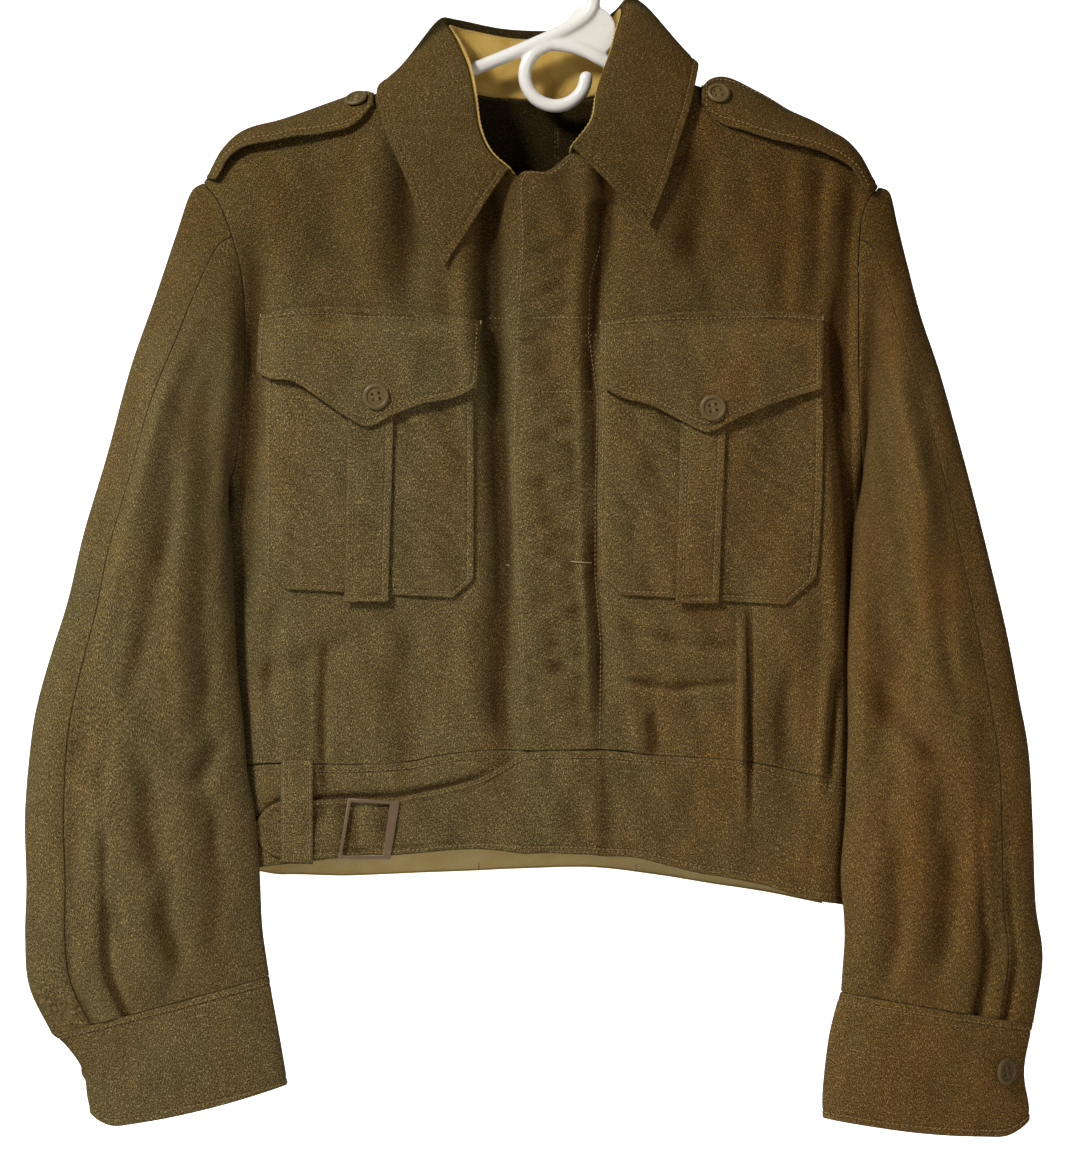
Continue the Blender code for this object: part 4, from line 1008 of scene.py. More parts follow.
# %% Sleeve and cuff tables
SLEEVE_LEFT_RINGS = [  # outer x, outer z, inner x, inner z, middle y, half depth, bend
    (-267, -198, -241.3, -416, -3, 32, 0.85), (-277, -228, -241, -424, -7, 34, 0.6),
    (-292, -274, -239.8, -437, -12, 35, 0.4), (-309, -324, -238.8, -456, -17, 35, 0.2),
    (-325, -385, -237.8, -480, -22, 34, 0.08), (-341, -440, -236.5, -508, -27, 32, 0),
    (-352, -488, -235, -535, -31, 30, 0), (-363, -524, -232, -560, -34, 29, 0),
    (-373, -560, -229.5, -585, -36, 29, 0), (-378, -590, -227.5, -608, -37, 29, 0),
    (-382, -640, -222, -640, -38, 28, 0), (-381, -688, -219, -675, -38, 27, 0),
    (-382, -728, -216, -708, -37, 25, 0), (-379, -762, -212, -734, -37, 22, 0),
    (-363, -796, -209, -754, -36, 18, 0),
]
SLEEVE_RIGHT_RINGS = [
    (233, -198, 214.3, -416, -3, 32, 0.85), (238, -220, 214, -424, -7, 34, 0.6),
    (245, -250, 212.8, -437, -12, 35, 0.4), (254, -286, 211.8, -456, -17, 35, 0.2),
    (267, -326, 210.6, -480, -22, 34, 0.08), (282, -381, 209, -508, -27, 32, 0),
    (294, -428, 208, -535, -31, 30, 0), (305, -474, 208, -560, -34, 29, 0),
    (314, -513, 208, -585, -36, 29, 0), (322, -556, 207, -611, -37, 29, 0),
    (329, -596, 206, -640, -38, 28, 0), (332, -649, 203, -675, -38, 27, 0),
    (334, -703, 201, -706, -37, 25, 0), (339, -742, 198, -737, -37, 22, 0),
    (332.5, -788, 196, -765, -36, 18, 0),
]
CUFF_LEFT_RINGS = [  # outer x, outer z, inner x, inner z, middle y, half depth
    (-363, -796, -209, -754, -36, 18), (-353, -804, -207, -768, -36, 18),
    (-341, -822, -202, -795, -36, 18), (-338, -845, -197, -824, -36, 17),
    (-336, -864, -196, -832, -36, 17),
]
CUFF_RIGHT_RINGS = [
    (332.5, -788, 196, -765, -36, 18), (330, -798, 192, -778, -36, 18),
    (326, -822, 187, -800, -36, 18), (329, -848, 183, -835, -36, 17),
    (330, -869, 183, -856, -36, 17),
]
PLEATS = {  # share across the front, first ring, deepest ring, last ring, depth, width
    "left": [
        (0.19, 10, 15, 99, 4.5, 0.028), (0.345, 9, 15, 99, 4.5, 0.03), (0.25, 1, 4, 9, -3.0, 0.06),
        (0.46, 3, 7, 12, 3.0, 0.07), (0.8, 6, 9, 12, 2.5, 0.07),
    ],
    "right": [
        (0.15, 11, 15, 99, 4.5, 0.028), (0.30, 10, 15, 99, 4.5, 0.03), (0.34, 1, 5, 10, -3.0, 0.07),
        (0.6, 2, 6, 11, 3.0, 0.08), (0.82, 7, 9, 12, 2.0, 0.07),
    ],
}
PLEATS_BEHIND = [
    (0.3, 7, 15, 99, 2.5, 0.07), (0.62, 5, 9, 13, 3.0, 0.08), (0.45, 2, 5, 9, 2.0, 0.09),
]
SLEEVE_FOLDS = {  # as in the tables of the body
    "left": [
        ([(-262, -215), (-268, -330), (-279, -420), (-290, -560)], 12, 2.2, 0.4),
        ([(-250, -250), (-254, -400), (-256, -500), (-250, -640)], 10, 3.0, 0.3),
        ([(-300, -300), (-318, -400), (-334, -480), (-340, -560)], 12, 2.4, 0.4),
        ([(-274, -622), (-252, -600), (-230, -572)], 8, 1.4, 0.5),
        ([(-300, -540), (-296, -640), (-282, -715), (-272, -775)], 11, 1.6, 0.5),
        ([(-254, -590), (-246, -680), (-250, -775)], 10, 1.6, 0.5),
        ([(-342, -500), (-350, -640), (-338, -760)], 10, 1.5, 0.5),
    ],
    "right": [
        ([(208, -170), (217, -300), (222, -430), (225, -560), (230, -660)], 16, 6.5, 0.2),
        ([(250, -300), (262, -400), (268, -500), (280, -620)], 8, 1.6, 0.4),
        ([(262, -330), (280, -420), (292, -500), (304, -580)], 12, 2.2, 0.4),
        ([(224, -550), (246, -585), (272, -612)], 9, 1.2, 0.5),
        ([(222, -600), (232, -700), (228, -780)], 10, 1.5, 0.5),
        ([(258, -580), (268, -690), (260, -785)], 11, 1.6, 0.5),
        ([(296, -540), (308, -660), (304, -775)], 10, 1.4, 0.5),
    ],
}


def fold_depth(folds, share, number):
    """How far the long folds push the front of a sleeve in."""
    depth = 0.0
    for middle, first, deepest, last, push, width in folds:
        grow = rise(number, first, deepest) * (1 - rise(number, deepest, last))
        depth = depth + push * grow * hump(share, middle, width)
    return depth


# %% Rings of a sleeve
CUFF_CORNER, CORNER_SHARE = 11.0, 0.16  # how far a cuff's outer corner is drawn up, and its width
CUFF_BOW = (-3.5, 2.0)  # how far its hem hangs down in front and is drawn up behind
INNER_SHIFT = {"left": 3.0, "right": -7.0}  # of the sleeve's inner edge, beside the body
SLEEVE_SEED = {"left": 21, "right": 22}  # each sleeve has its own unevenness


def armhole(side, shares, behind):
    """Points of the armhole at shares of its height, on the front or on the back."""
    front = FRONT_LEFT_ROWS if side == "left" else FRONT_RIGHT_ROWS
    back = BACK_LEFT_ROWS if side == "left" else BACK_RIGHT_ROWS
    fine = np.linspace(0, UNDERARM_ROW, 400)
    height = panel_ends(front, fine)[3]
    height = (height[0] - height) / (height[0] - height[-1])
    number = np.interp(shares, height, fine)
    _, _, x, z = panel_ends(front, number)
    _, _, back_x, back_z = panel_ends(back, number)
    back_points = on_back(back_x, back_z)
    return np.where(behind[:, None], back_points, on_front(x, z))


def ring_face(side, rings, numbers, angles):
    """Points of a tube through its rings, at fractional ring numbers and angles in radians.

    Angle 0 is the outer end of a ring, pi its inner end, and the front lies between. The rings of
    a sleeve tell how much of the armhole's bend they keep, and the armhole is its first ring.
    """
    shares, depth = (1 - np.cos(angles)) / 2, np.sin(angles)
    outer_x, outer_z, inner_x, inner_z, middle, half, *bend = np.array(rings, float).T[..., None]
    x = outer_x + shares * (inner_x - outer_x)
    y = middle - half * depth
    z = outer_z + shares * (inner_z - outer_z)
    first = []
    if bend:
        first = armhole(side, shares, depth < 0)[None]
        top, foot = armhole(side, np.array([0.0, 1.0]), np.array([False, False]))
        x = x + bend[0] * (first[0, :, 0] - top[0] - shares * (foot[0] - top[0]))
    points = np.array([*first, *np.stack(np.broadcast_arrays(x, y, z), axis=-1)])
    table = np.column_stack([np.arange(len(points)), points.reshape(len(points), -1)])
    return through(table)(numbers).T.reshape(len(numbers), len(angles), 3), shares, depth


def cuff_face(side, rings, numbers, angles):
    """Points of a cuff, its hem bowed and its outer corner drawn up."""
    face, shares, depth = ring_face(side, rings, numbers, angles)
    uneven = ripple(face[..., 0], face[..., 2], 31, 60, 80, 0.8)
    corner = np.clip(1 - shares / CORNER_SHARE, 0, 1) ** 2
    bow = np.sin(np.pi * shares) * np.where(depth > 0, *CUFF_BOW)
    face[..., 1] += uneven * depth
    face[..., 2] += rise(numbers, 2.2, 4)[:, None] * (corner * CUFF_CORNER + bow)
    return face


def sleeve_face(side, rings, numbers, angles):
    """Points of a sleeve, with its pleats and folds."""
    face, shares, depth = ring_face(side, rings, numbers, angles)
    number = numbers[:, None]
    inner = shares**4 * rise(number, 0.5, 3) * (1 - rise(number, 12, 14))
    face[..., 0] += inner * INNER_SHIFT[side]
    push = fold_depth(PLEATS[side], shares, number) * (depth > 0)
    push = push - fold_depth(PLEATS_BEHIND, shares, number) * (depth < 0)
    x, z = face[..., 0], face[..., 2]
    swell = np.abs(depth) ** 0.5
    creased = folds_depth(x, z, SLEEVE_FOLDS[side]) * swell
    uneven = ripple(x, z, SLEEVE_SEED[side], 48, 190, 1.9)
    small = ripple(x, z, 23, 24, 60, 0.6)
    pushed = push + (creased - uneven - small) * np.sign(depth) * swell
    face[..., 1] += rise(number, 0, 2.5) * pushed
    return face


# %% Sleeves
FULL_TURN = 2 * math.pi
SEAM_ROWS = (4, 10)  # rows of the armhole where the sleeve's seams start, in front and behind
SLEEVE_LENGTH = 560.0
SLEEVE_RADIUS = 100.0
SLEEVE_STEPS = (3.8, 3.2)  # between its points, down the sleeve and round it


def seam_angles(side):
    """Angles of the sleeve's two seams, in front and behind."""
    rows = FRONT_LEFT_ROWS if side == "left" else FRONT_RIGHT_ROWS
    height = np.array(rows, float)[: UNDERARM_ROW + 1, 3]
    share = (height[0] - height) / (height[0] - height[-1])
    front, behind = (math.acos(1 - 2 * share[row]) for row in SEAM_ROWS)
    return front, FULL_TURN - behind


for side, rings in (("left", SLEEVE_LEFT_RINGS), ("right", SLEEVE_RIGHT_RINGS)):
    front, behind = seam_angles(side)
    numbers = spread(SLEEVE_LENGTH, SLEEVE_STEPS[0]) * len(rings)
    ring = sleeve_face(side, rings, numbers, np.linspace(0, FULL_TURN, 24, endpoint=False))
    for part, start, end in (("top", front, behind), ("under", behind - FULL_TURN, front)):
        turn = end - start
        angles = start + spread(SLEEVE_RADIUS * turn, SLEEVE_STEPS[1]) * turn
        face = sleeve_face(side, rings, numbers, angles)
        outward = face - ring.mean(axis=1, keepdims=True)
        inward = -unit(outward[-1] * (1, 2, 1))
        face = tuck_under(face, inward, drop=6.0, sink=3.2)
        outward = np.concatenate([outward, np.repeat(outward[-1:], len(TUCK), axis=0)])
        node = f"sleeve_{side}_{part}"
        piece = lay_cloth(f"cloth_{node}", face, outward, serge, ends=("first",))
        hang(piece, node)
print("sleeves laid")

# %% Cuffs
DOUBLE = 2.2  # thickness of plies pressed together, as laid
CUFF_HEIGHT = 78.0
CUFF_CLEAR = 0.04  # rings that a cuff stays clear of the sleeve and of its solid's hem
for side, rings in (("left", CUFF_LEFT_RINGS), ("right", CUFF_RIGHT_RINGS)):
    shares = between_seams(CUFF_HEIGHT, 2.2)
    numbers = CUFF_CLEAR + shares * (len(rings) - 1 - 2 * CUFF_CLEAR)
    face = cuff_face(side, rings, numbers, np.linspace(0, FULL_TURN, 150))
    outward = face - face.mean(axis=1, keepdims=True)
    node = f"cuff_{side}"
    piece = lay_cloth(
        f"cloth_{node}", face, outward, serge, thickness=DOUBLE, wrap=True, groove=GROOVE
    )
    hang(piece, node, [stitched(node, ("first", "last"))])

# %% [markdown]
# ## Collar
# The collar rises from the neck seam, rolls over and falls to a point on each side. At each
# station round the neck, one curve with two handles draws the stand and another one the fall, so
# the roll stays full at the back and sharpens toward the points. Yellow drill lines the stand.

# %% Collar table
COLLAR = [  # roll x, y, z, edge x, y, z, fullness
    (-39, -37, -183, -85, -38.5, -253, 3), (-53, -36, -171, -101, -38, -222, 4),
    (-61, -32, -154, -112, -35, -190, 5), (-65, -26, -129, -124, -31, -163, 6),
    (-69, -18, -110, -131, -21, -142, 7), (-75, -8, -95, -134, -9, -126, 8),
    (-82, 2, -82, -131, 6, -118, 8), (-87, 12, -71, -122, 21, -122, 8),
    (-76, 24, -71, -100, 36, -131, 8), (-42, 31, -77, -52, 44, -139, 8),
    (-5, 33, -78, -5, 46, -141, 8), (20, 31, -75, 30, 44, -138, 8),
    (38, 24, -64, 62, 36, -129, 9), (47, 14, -56, 84, 24, -114, 13),
    (48, 3, -62, 94, 9, -105, 15), (43, -7, -76, 97, -6, -106, 13),
    (36, -15, -93, 94, -19, -120, 9), (29, -23, -110, 89, -28, -140, 7),
    (23, -30, -128, 82, -33, -163, 6), (20, -36, -147, 72, -37, -194, 4),
    (5, -41, -167, 61, -41, -224, 3),
]
STAND = 0.9  # share of the stand's curve where the fall takes over
COLLAR_HANDLE = 0.35  # length of the curve's handles in the stand and the fall
EDGE_FULLNESS = 0.3  # how full the fall still is at its edge
LOW_STAND = 30.0  # a stand lower than this rolls less


def handled(start, handle_1, handle_2, end, f):
    """The point at share f of a curve that leaves its ends toward two handles."""
    return (
        start * (1 - f) ** 3
        + handle_1 * 3 * f * (1 - f) ** 2
        + handle_2 * 3 * f**2 * (1 - f)
        + end * f**3
    )


# %% Collar
def collar_curves(stations):
    """The collar's control points at fractional stations."""
    front_left, back_left, back_right, front_right = (
        np.column_stack(panel_ends(rows, np.arange(NECK_ROW + 1)))[:, :2]
        for rows in (FRONT_LEFT_ROWS, BACK_LEFT_ROWS, BACK_RIGHT_ROWS, FRONT_RIGHT_ROWS)
    )
    front = np.concatenate([front_left[::-1], back_left[1:], back_right[-2:0:-1], front_right])
    behind = np.zeros(len(front), bool)
    behind[NECK_ROW + 1 : -NECK_ROW - 1] = True
    neck = np.where(behind[:, None], on_back(*front.T), on_front(*front.T))
    table = np.column_stack([np.arange(len(COLLAR)), np.array(COLLAR, float), neck])
    found = through(table)(stations).T
    roll, edge, fullness, neck = found[:, :3], found[:, 3:6], found[:, 6:7], found[:, 7:]
    outward = unit((roll - (BODY_CENTRE, 0, 0)) * (1, 1, 0))
    over = outward * fullness
    stand_height = np.linalg.norm(roll - neck, axis=-1, keepdims=True)
    up = neck + unit(roll - neck) * stand_height * COLLAR_HANDLE
    below_roll = roll - over * np.minimum(1, stand_height / LOW_STAND)
    above_edge = edge - (edge - roll) * COLLAR_HANDLE + over * EDGE_FULLNESS
    return (neck, up, below_roll, roll), (roll, roll + over, above_edge, edge), outward


def collar_face(stations, stand_shares, fall_shares):
    stand, fall, outward = collar_curves(stations)
    rows = [handled(*stand, share) for share in stand_shares]
    rows += [handled(*fall, share) for share in fall_shares]
    return np.array(rows), outward


COLLAR_LENGTH = 500.0
ROLL_PART = 0.2  # share of the fall that still rolls over, with points closer together
stations = between_seams(COLLAR_LENGTH, 2.4) * (len(COLLAR) - 1)
stand_shares = np.linspace(0, STAND, 14)
flat_shares = ROLL_PART + (1 - ROLL_PART) * spread(60, 2.2, STITCHED, start=False)
fall_shares = np.concatenate([np.linspace(0, ROLL_PART, 9)[:-1], flat_shares])
face, outward = collar_face(stations, stand_shares, fall_shares)
face[0] += unit(face[1] - face[0]) * LAYER_GAP
toward = np.broadcast_to(outward, face.shape).copy()
toward[: len(stand_shares)] = 0
soft = ripple(face[..., 0], face[..., 2], 41, 45, 80, 0.6)
fade = rise(np.arange(len(face))[:, None], len(stand_shares) + 6, len(face) - 6)
face = face + toward * (soft * fade)[..., None]
collar = lay_cloth(
    "cloth_collar", face, toward, serge, thickness=2.3, ends=("last",), groove=GROOVE
)
lines = edge_lines("cloth_collar", GROOVE, ("last",), 6)
for line, up in edge_lines("cloth_collar", GROOVE, ("left", "right")):
    lines.append((line[24:], up[24:]))  # on the fall, and not on the stand
collar_thread = trim(sew("collar_stitches", lines, thick=0.45), "serge")
hang(collar, "collar", [collar_thread])

# %% Drill band inside the collar
LINING_REACH = 0.72  # share of the stand that the band covers
shares = np.linspace(0, 1, 18)
stand, _, outward = collar_curves(stations)
at_left = 1 - rise(stations, 4, 8)  # the band stands higher by the left point
reach = (LINING_REACH + 0.26 * at_left)[:, None]
band = np.array([handled(*stand, share * reach) for share in shares])
band[0] += unit(band[1] - band[0]) * LAYER_GAP
band = band - np.broadcast_to(outward, band.shape) * PLIES
band[:, :, 2] += at_left * 1.2 * shares[:, None]
lining = lay_cloth("cloth_collar_lining", band, -outward, drill, thickness=0.6)
lines = edge_lines("cloth_collar_lining", 1.8, ("last",), 4)
lining_thread = trim(sew("lining_stitches", lines, pale_thread, thick=0.5), "drill")
hang(lining, "collar_lining", [lining_thread])

# %% [markdown]
# ## Pockets
# Each patch pocket has a box pleat down its middle and a pointed flap. They are laid on the front
# by asking for its height at their own x and z and adding the layers between, so every fold of
# the front passes through them.

# %% Pocket tables
POCKET_LEFT_ROWS = [  # left x, left z, right x, right z
    (-212, -306, -63.5, -306), (-212.5, -360, -63.5, -360), (-213, -415, -63.5, -415),
    (-213, -450, -63.5, -452), (-213, -467, -64, -474), (-197, -481, -79, -487),
]
POCKET_RIGHT_ROWS = [
    (24.5, -306, 184, -306), (23.5, -360, 184, -360), (23, -415, 183, -415),
    (23, -450, 181, -452), (23, -469, 179, -473), (41, -485, 157, -492),
]
POCKET_PUFF = 3.0
PLEAT_LEFT = ((-152.5, -330, -119.5, -330), (-156, -490, -124, -490))  # its top and foot
PLEAT_RIGHT = ((83, -330, 116, -330), (78.5, -491, 110, -491))
PLEAT_CLEARANCE = 0.3  # over the pocket's curve, besides its ply
FLAP_LEFT = [  # x and z on its top edge, x and z on its lower edge
    (-217, -285, -219, -326), (-205, -283, -209, -332), (-190, -281, -192, -334),
    (-172, -280, -173, -346), (-155, -280, -154, -359), (-139, -281, -138.5, -366),
    (-122, -282, -121, -358), (-100, -284, -100, -350), (-78, -287, -79, -346),
    (-57.5, -290, -61, -338),
]
FLAP_RIGHT = [
    (24.5, -290, 26, -338), (42, -288, 43, -346), (62, -286, 62, -351), (82, -284, 81, -361),
    (102, -283, 102, -370), (121, -283, 121, -361), (142, -283, 143, -352),
    (164, -284, 165, -344), (185, -287, 183, -339),
]
FLAP_SEAM = 18.0  # height over which a flap rises from its seam onto the pocket
FLAP_CLEARANCE = 0.8  # over the pleat's curve, besides its plies
POCKET_PROUD, PLEAT_PROUD, FLAP_PROUD = 0.6, 0.5, 1.6  # pressed cloth stands off a little
FLAP_SEED = {"left": 53, "right": 54}  # each flap has its own wave


def pocket_lift(x, z, rows):
    """How far the pocket's face stands off the front: flat at its seams, full in the middle."""
    left, right = rows[0][0], rows[0][2]
    top, foot = rows[0][1], rows[-1][1]
    across = np.clip((x - left) / (right - left), 0, 1)
    down = np.clip((z - top) / (foot - top), 0, 1)
    return LAYER + POCKET_PUFF * np.sin(math.pi * across) * np.sin(math.pi * down) ** 0.5


# %% Pockets, pleats and flaps
def rows_between(rows, downs, shares):
    """x and z of a grid between the ends of each row."""
    height = np.array([0, *np.cumsum(np.abs(np.diff([row[1] for row in rows])))])
    ends = np.stack([np.interp(downs * height[-1], height, column) for column in np.array(rows).T])
    left_x, left_z, right_x, right_z = ends[:, :, None]
    return left_x + shares * (right_x - left_x), left_z + shares * (right_z - left_z)


def pleat_rows(pleat):
    top, foot = np.array(pleat)
    return [tuple(top * (1 - f) + foot * f) for f in np.linspace(0, 1, 5)]


def lay_on_front(node, x, z, lift, thickness=1.7, groove=GROOVE):
    """A sheet of serge laid over the front, lifted by the layers between."""
    face = on_front(x, z, lift)
    return lay_cloth(f"cloth_{node}", face, FRONT_WAY, serge, thickness=thickness, groove=groove)


def make_pocket(side, rows, pleat, flap):
    """A pocket with its pleat and flap, and the lift of the flap for its button."""
    x, z = rows_between(rows, between_seams(180, 2.6), between_seams(149, 2.6))
    pucker = ripple(z + x, x - z, 51, 17, 60, 0.25)
    node = f"pocket_{side}"
    pocket = lay_on_front(node, x, z, pocket_lift(x, z, rows) + pucker + POCKET_PROUD)
    stitches = stitched(node, ("left", "right", "last"), at_ends=5)
    hang(pocket, node, [stitches])

    x, z = rows_between(pleat_rows(pleat), between_seams(160, 2.6), between_seams(33, 2.0))
    lift = pocket_lift(x, z, rows) + LAYER + PLEAT_CLEARANCE + POCKET_PROUD
    node = f"pocket_pleat_{side}"
    strip = lay_on_front(node, x, z, lift + PLEAT_PROUD + ripple(x, z, 52, 30, 30, 0.3))
    stitches = stitched(node, ("left", "right"), at_ends=2)
    hang(strip, node, [stitches])

    edge = through([(k, *row) for k, row in enumerate(flap)])
    top_x, top_z, foot_x, foot_z = edge(between_seams(165, 2.2) * (len(flap) - 1))
    down = between_seams(58, 2.2)[:, None]
    x, z = top_x + down * (foot_x - top_x), top_z + down * (foot_z - top_z)
    mean_top = np.mean([row[1] for row in flap])

    def lift_at(x, z):
        over_pocket = rise(mean_top - z, 0, FLAP_SEAM)
        free = pocket_lift(x, z, rows) + LAYER + FLAP_CLEARANCE + FLAP_PROUD
        return PLIES + LAYER_GAP + over_pocket * free

    wave = ripple(x, z, FLAP_SEED[side], 40, 50, 0.5)
    node = f"pocket_flap_{side}"
    cover = lay_on_front(node, x, z, lift_at(x, z) + wave * down, DOUBLE)
    stitches = stitched(node, ALL_SIDES, at_ends=4)
    corners = edge_lines(f"cloth_{node}", 2.5, ("left", "right"))
    corners = [(line[1:6], up[1:6]) for line, up in corners]
    bars = trim(sew(f"{node}_bars", corners, pale_thread, pitch=1.2, length=2.0), "serge")
    hang(cover, node, [stitches, bars])
    return lift_at


flap_lifts = {
    "left": make_pocket("left", POCKET_LEFT_ROWS, PLEAT_LEFT, FLAP_LEFT),
    "right": make_pocket("right", POCKET_RIGHT_ROWS, PLEAT_RIGHT, FLAP_RIGHT),
}

# %% [markdown]
# ## Shoulder straps
# A strap is sewn in at the armhole, bends over the shoulder seam and ends in a round end that
# buttons by the collar. Each lies at its own tilt, as the jacket was hung by hand.

# %% Tables of the straps
STRAP_LEFT = [  # x, over, in front
    (-256, 5.5, 2), (-239, 7, 3), (-203, 4, 6), (-160, -1, 10), (-146, -2, 11.5), (-136, -3, 12),
]
STRAP_RIGHT = [
    (223, 4.1, 7.9), (205, 4.2, 9), (187, 2.6, 10.5), (157, -2.5, 13), (139, -3.4, 14),
    (120, -3.5, 14.5), (98, -6, 15),
]
STRAP_HALF_WIDTH = 24.0
STRAP_ROUND = (23.0, 45.0, 60.0)  # radius of the bend at the seam, and at the left and right ends
STRAP_LEAN_LEFT = (5.0, 38.0)  # degrees that it leans forward at the seam and at its end
STRAP_LEAN_RIGHT = (20.0, 58.0)
STRAP_END_BLUNT = 0.35  # half width of the blunt end, as a share
STRAP_BOW = 8.0  # how far the seam end follows the armhole
STRAP_WAVE = 0.6  # share of the unevenness that goes up, and forward
SEWN_IN = 4.5  # how far the seam end sinks into the armhole seam
STRAP_BUTTON_SHARE = 0.91  # place of the button along the strap

# %% Straps
def strap_face(table, lean, end_round, shares, acrosses):
    """Points of a strap and their upward directions, along its length and across it."""
    start, end = table[0][0], table[-1][0]
    middle = through(sorted(table))
    toward_neck = math.copysign(1, end - start)
    length = abs(end - start)
    share = shares[:, None]
    from_end = (1 - share) * length
    to_round = 1 - from_end / STRAP_HALF_WIDTH
    round_end = np.sqrt(np.clip(1 - to_round**2, STRAP_END_BLUNT**2, 1))
    half_width = STRAP_HALF_WIDTH * np.where(from_end < STRAP_HALF_WIDTH, round_end, 1)
    across = acrosses * half_width
    at_seam = (1 - share) * STRAP_BOW * (across / STRAP_HALF_WIDTH) ** 2
    x = start + toward_neck * (share * length + at_seam)
    grown = rise(share, 0, 1)
    bend = STRAP_ROUND[0] + (end_round - STRAP_ROUND[0]) * grown
    tilt = np.radians(lean[0] + (lean[1] - lean[0]) * grown)
    angle = across / bend + tilt
    over, forward = middle(x)
    wave = ripple(x, across, 61, 45, 50, 0.9) * np.sin(np.pi * np.clip(share, 0, 1))
    y = -forward - bend * (np.sin(angle) - np.sin(tilt)) - wave * STRAP_WAVE
    sewn_in = SEWN_IN * (1 - rise(share, 0, 0.09))
    z = shoulder(x) + over - bend * (np.cos(tilt) - np.cos(angle)) + wave * STRAP_WAVE - sewn_in
    face = np.stack([x, y, z], axis=-1)
    upward = np.stack([np.zeros_like(angle), -np.sin(angle), np.cos(angle)], axis=-1)
    return face, upward


strap_seats = {}
for side, table, lean, end_round in (
    ("left", STRAP_LEFT, STRAP_LEAN_LEFT, STRAP_ROUND[1]),
    ("right", STRAP_RIGHT, STRAP_LEAN_RIGHT, STRAP_ROUND[2]),
):
    length = abs(table[-1][0] - table[0][0])
    acrosses = between_seams(2 * STRAP_HALF_WIDTH, 2.0) * 2 - 1
    face, upward = strap_face(table, lean, end_round, between_seams(length, 2.2), acrosses)
    node = f"shoulder_strap_{side}"
    strap = lay_cloth(f"cloth_{node}", face, upward, serge, thickness=DOUBLE, groove=GROOVE)
    stitches = stitched(node, ("left", "right", "last"), at_ends=3)
    hang(strap, node, [stitches])
    at_button = np.array([STRAP_BUTTON_SHARE - 0.02, STRAP_BUTTON_SHARE])
    seat, _ = strap_face(table, lean, end_round, at_button, np.array([0.0]))
    strap_seats[side] = nearest_on(f"cloth_{node}", seat[1, 0])

# %% [markdown]
# ## Waistband and belt
# The band is cut straight and sewn to the gathered waist. Its right front runs on past the fly as
# a belt end, through a loop and the buckle, to its point on the wearer's right. A strip of drill
# faces the band inside and shows below the hem at the middle.

# %% Waistband tables
WAISTBAND_RIGHT = [  # x, top z, bottom z; from the side seam to the belt's point
    (210, -618, -705), (208.8, -618, -705), (205, -617, -704.5), (198, -615, -703),
    (188, -613, -701.5), (169, -610, -697), (146, -605, -690), (122, -601, -685),
    (97, -599, -681), (76, -598, -676), (51, -596, -670), (29, -594, -669),
    (20, -594, -668), (-8, -594, -667), (-29, -596, -667), (-46, -606, -665),
    (-62, -614, -664), (-84, -620, -665), (-108, -625, -667), (-120, -627, -668),
    (-138, -628, -669), (-156, -628, -670), (-178, -629, -671), (-201, -630, -671),
    (-212, -636, -666), (-220, -646, -655),
]
WAISTBAND_LEFT = [
    (-237, -605, -680), (-235.8, -605, -680), (-232, -605, -679), (-225, -605, -678),
    (-214, -604, -676), (-190, -603.5, -673.5), (-153, -604, -669), (-111, -602, -664),
    (-91, -598, -662), (-60, -594, -661), (-30, -594, -662), (-3, -594, -663),
]
WAISTBAND_BACK = [
    (-237, -605, -685), (-235.8, -605, -685), (-232, -605, -685), (-225, -604.5, -685),
    (-212, -604, -685), (-180, -603, -684), (-130, -600.5, -682), (-80, -599.5, -680),
    (-30, -599, -678), (20, -599.5, -677), (65, -602, -682), (110, -605, -689),
    (150, -610, -695), (185, -614.5, -702), (198, -616.5, -704), (205, -617.5, -704.5),
    (208.8, -618, -705), (210, -618, -705),
]
LINING_DROP = 3.0  # the drill strip shows below the back waistband
LINING_HEIGHT = 45.0
LOOP_ROWS = [  # z, and how far the loop has risen over the belt
    (-601, 0.0), (-612, 0.2), (-624, 1.0), (-640, 1.0), (-660, 1.0), (-675, 0.9),
]
LOOP_X = (-201.0, -177.5)
LOOP_CLEARANCE = 0.2
BUCKLE_OUTLINE = [(-153, -628.5), (-116.5, -630.5), (-123, -671.5), (-160, -671.5)]  # x, z
BUCKLE_OPENING = [(-149.6, -632), (-124.4, -633.5), (-129.6, -668), (-156.4, -668)]
BELT_HUMP = 2.0  # the belt rises inside the buckle
BELT_HUMP_WIDTH = 7.0
BELT_HUMP_CLEAR = 8.0  # the hump fades this near the buckle's bars
BELT_STEP = (20.0, 29.0)  # x between which the right band steps up onto the left one
BUCKLE_THICKNESS = 2.0
BAND_SHARES = between_seams(70, 2.2)[:, None]  # down the height of the band


def belt_lift(x, z):
    """The right band lies over the left one from the fly on, and humps inside the buckle."""
    middle = (BUCKLE_OPENING[0][0] + BUCKLE_OPENING[2][0]) / 2
    foot, top = BUCKLE_OPENING[2][1], BUCKLE_OPENING[1][1]
    inside = rise(z, foot, foot + BELT_HUMP_CLEAR) * (1 - rise(z, top - BELT_HUMP_CLEAR, top))
    return LAYER * (1 - rise(x, *BELT_STEP)) + BELT_HUMP * hump(x, middle, BELT_HUMP_WIDTH) * inside


# %% Grid of a band
BAND_STEP = 2.4  # between the points of a band


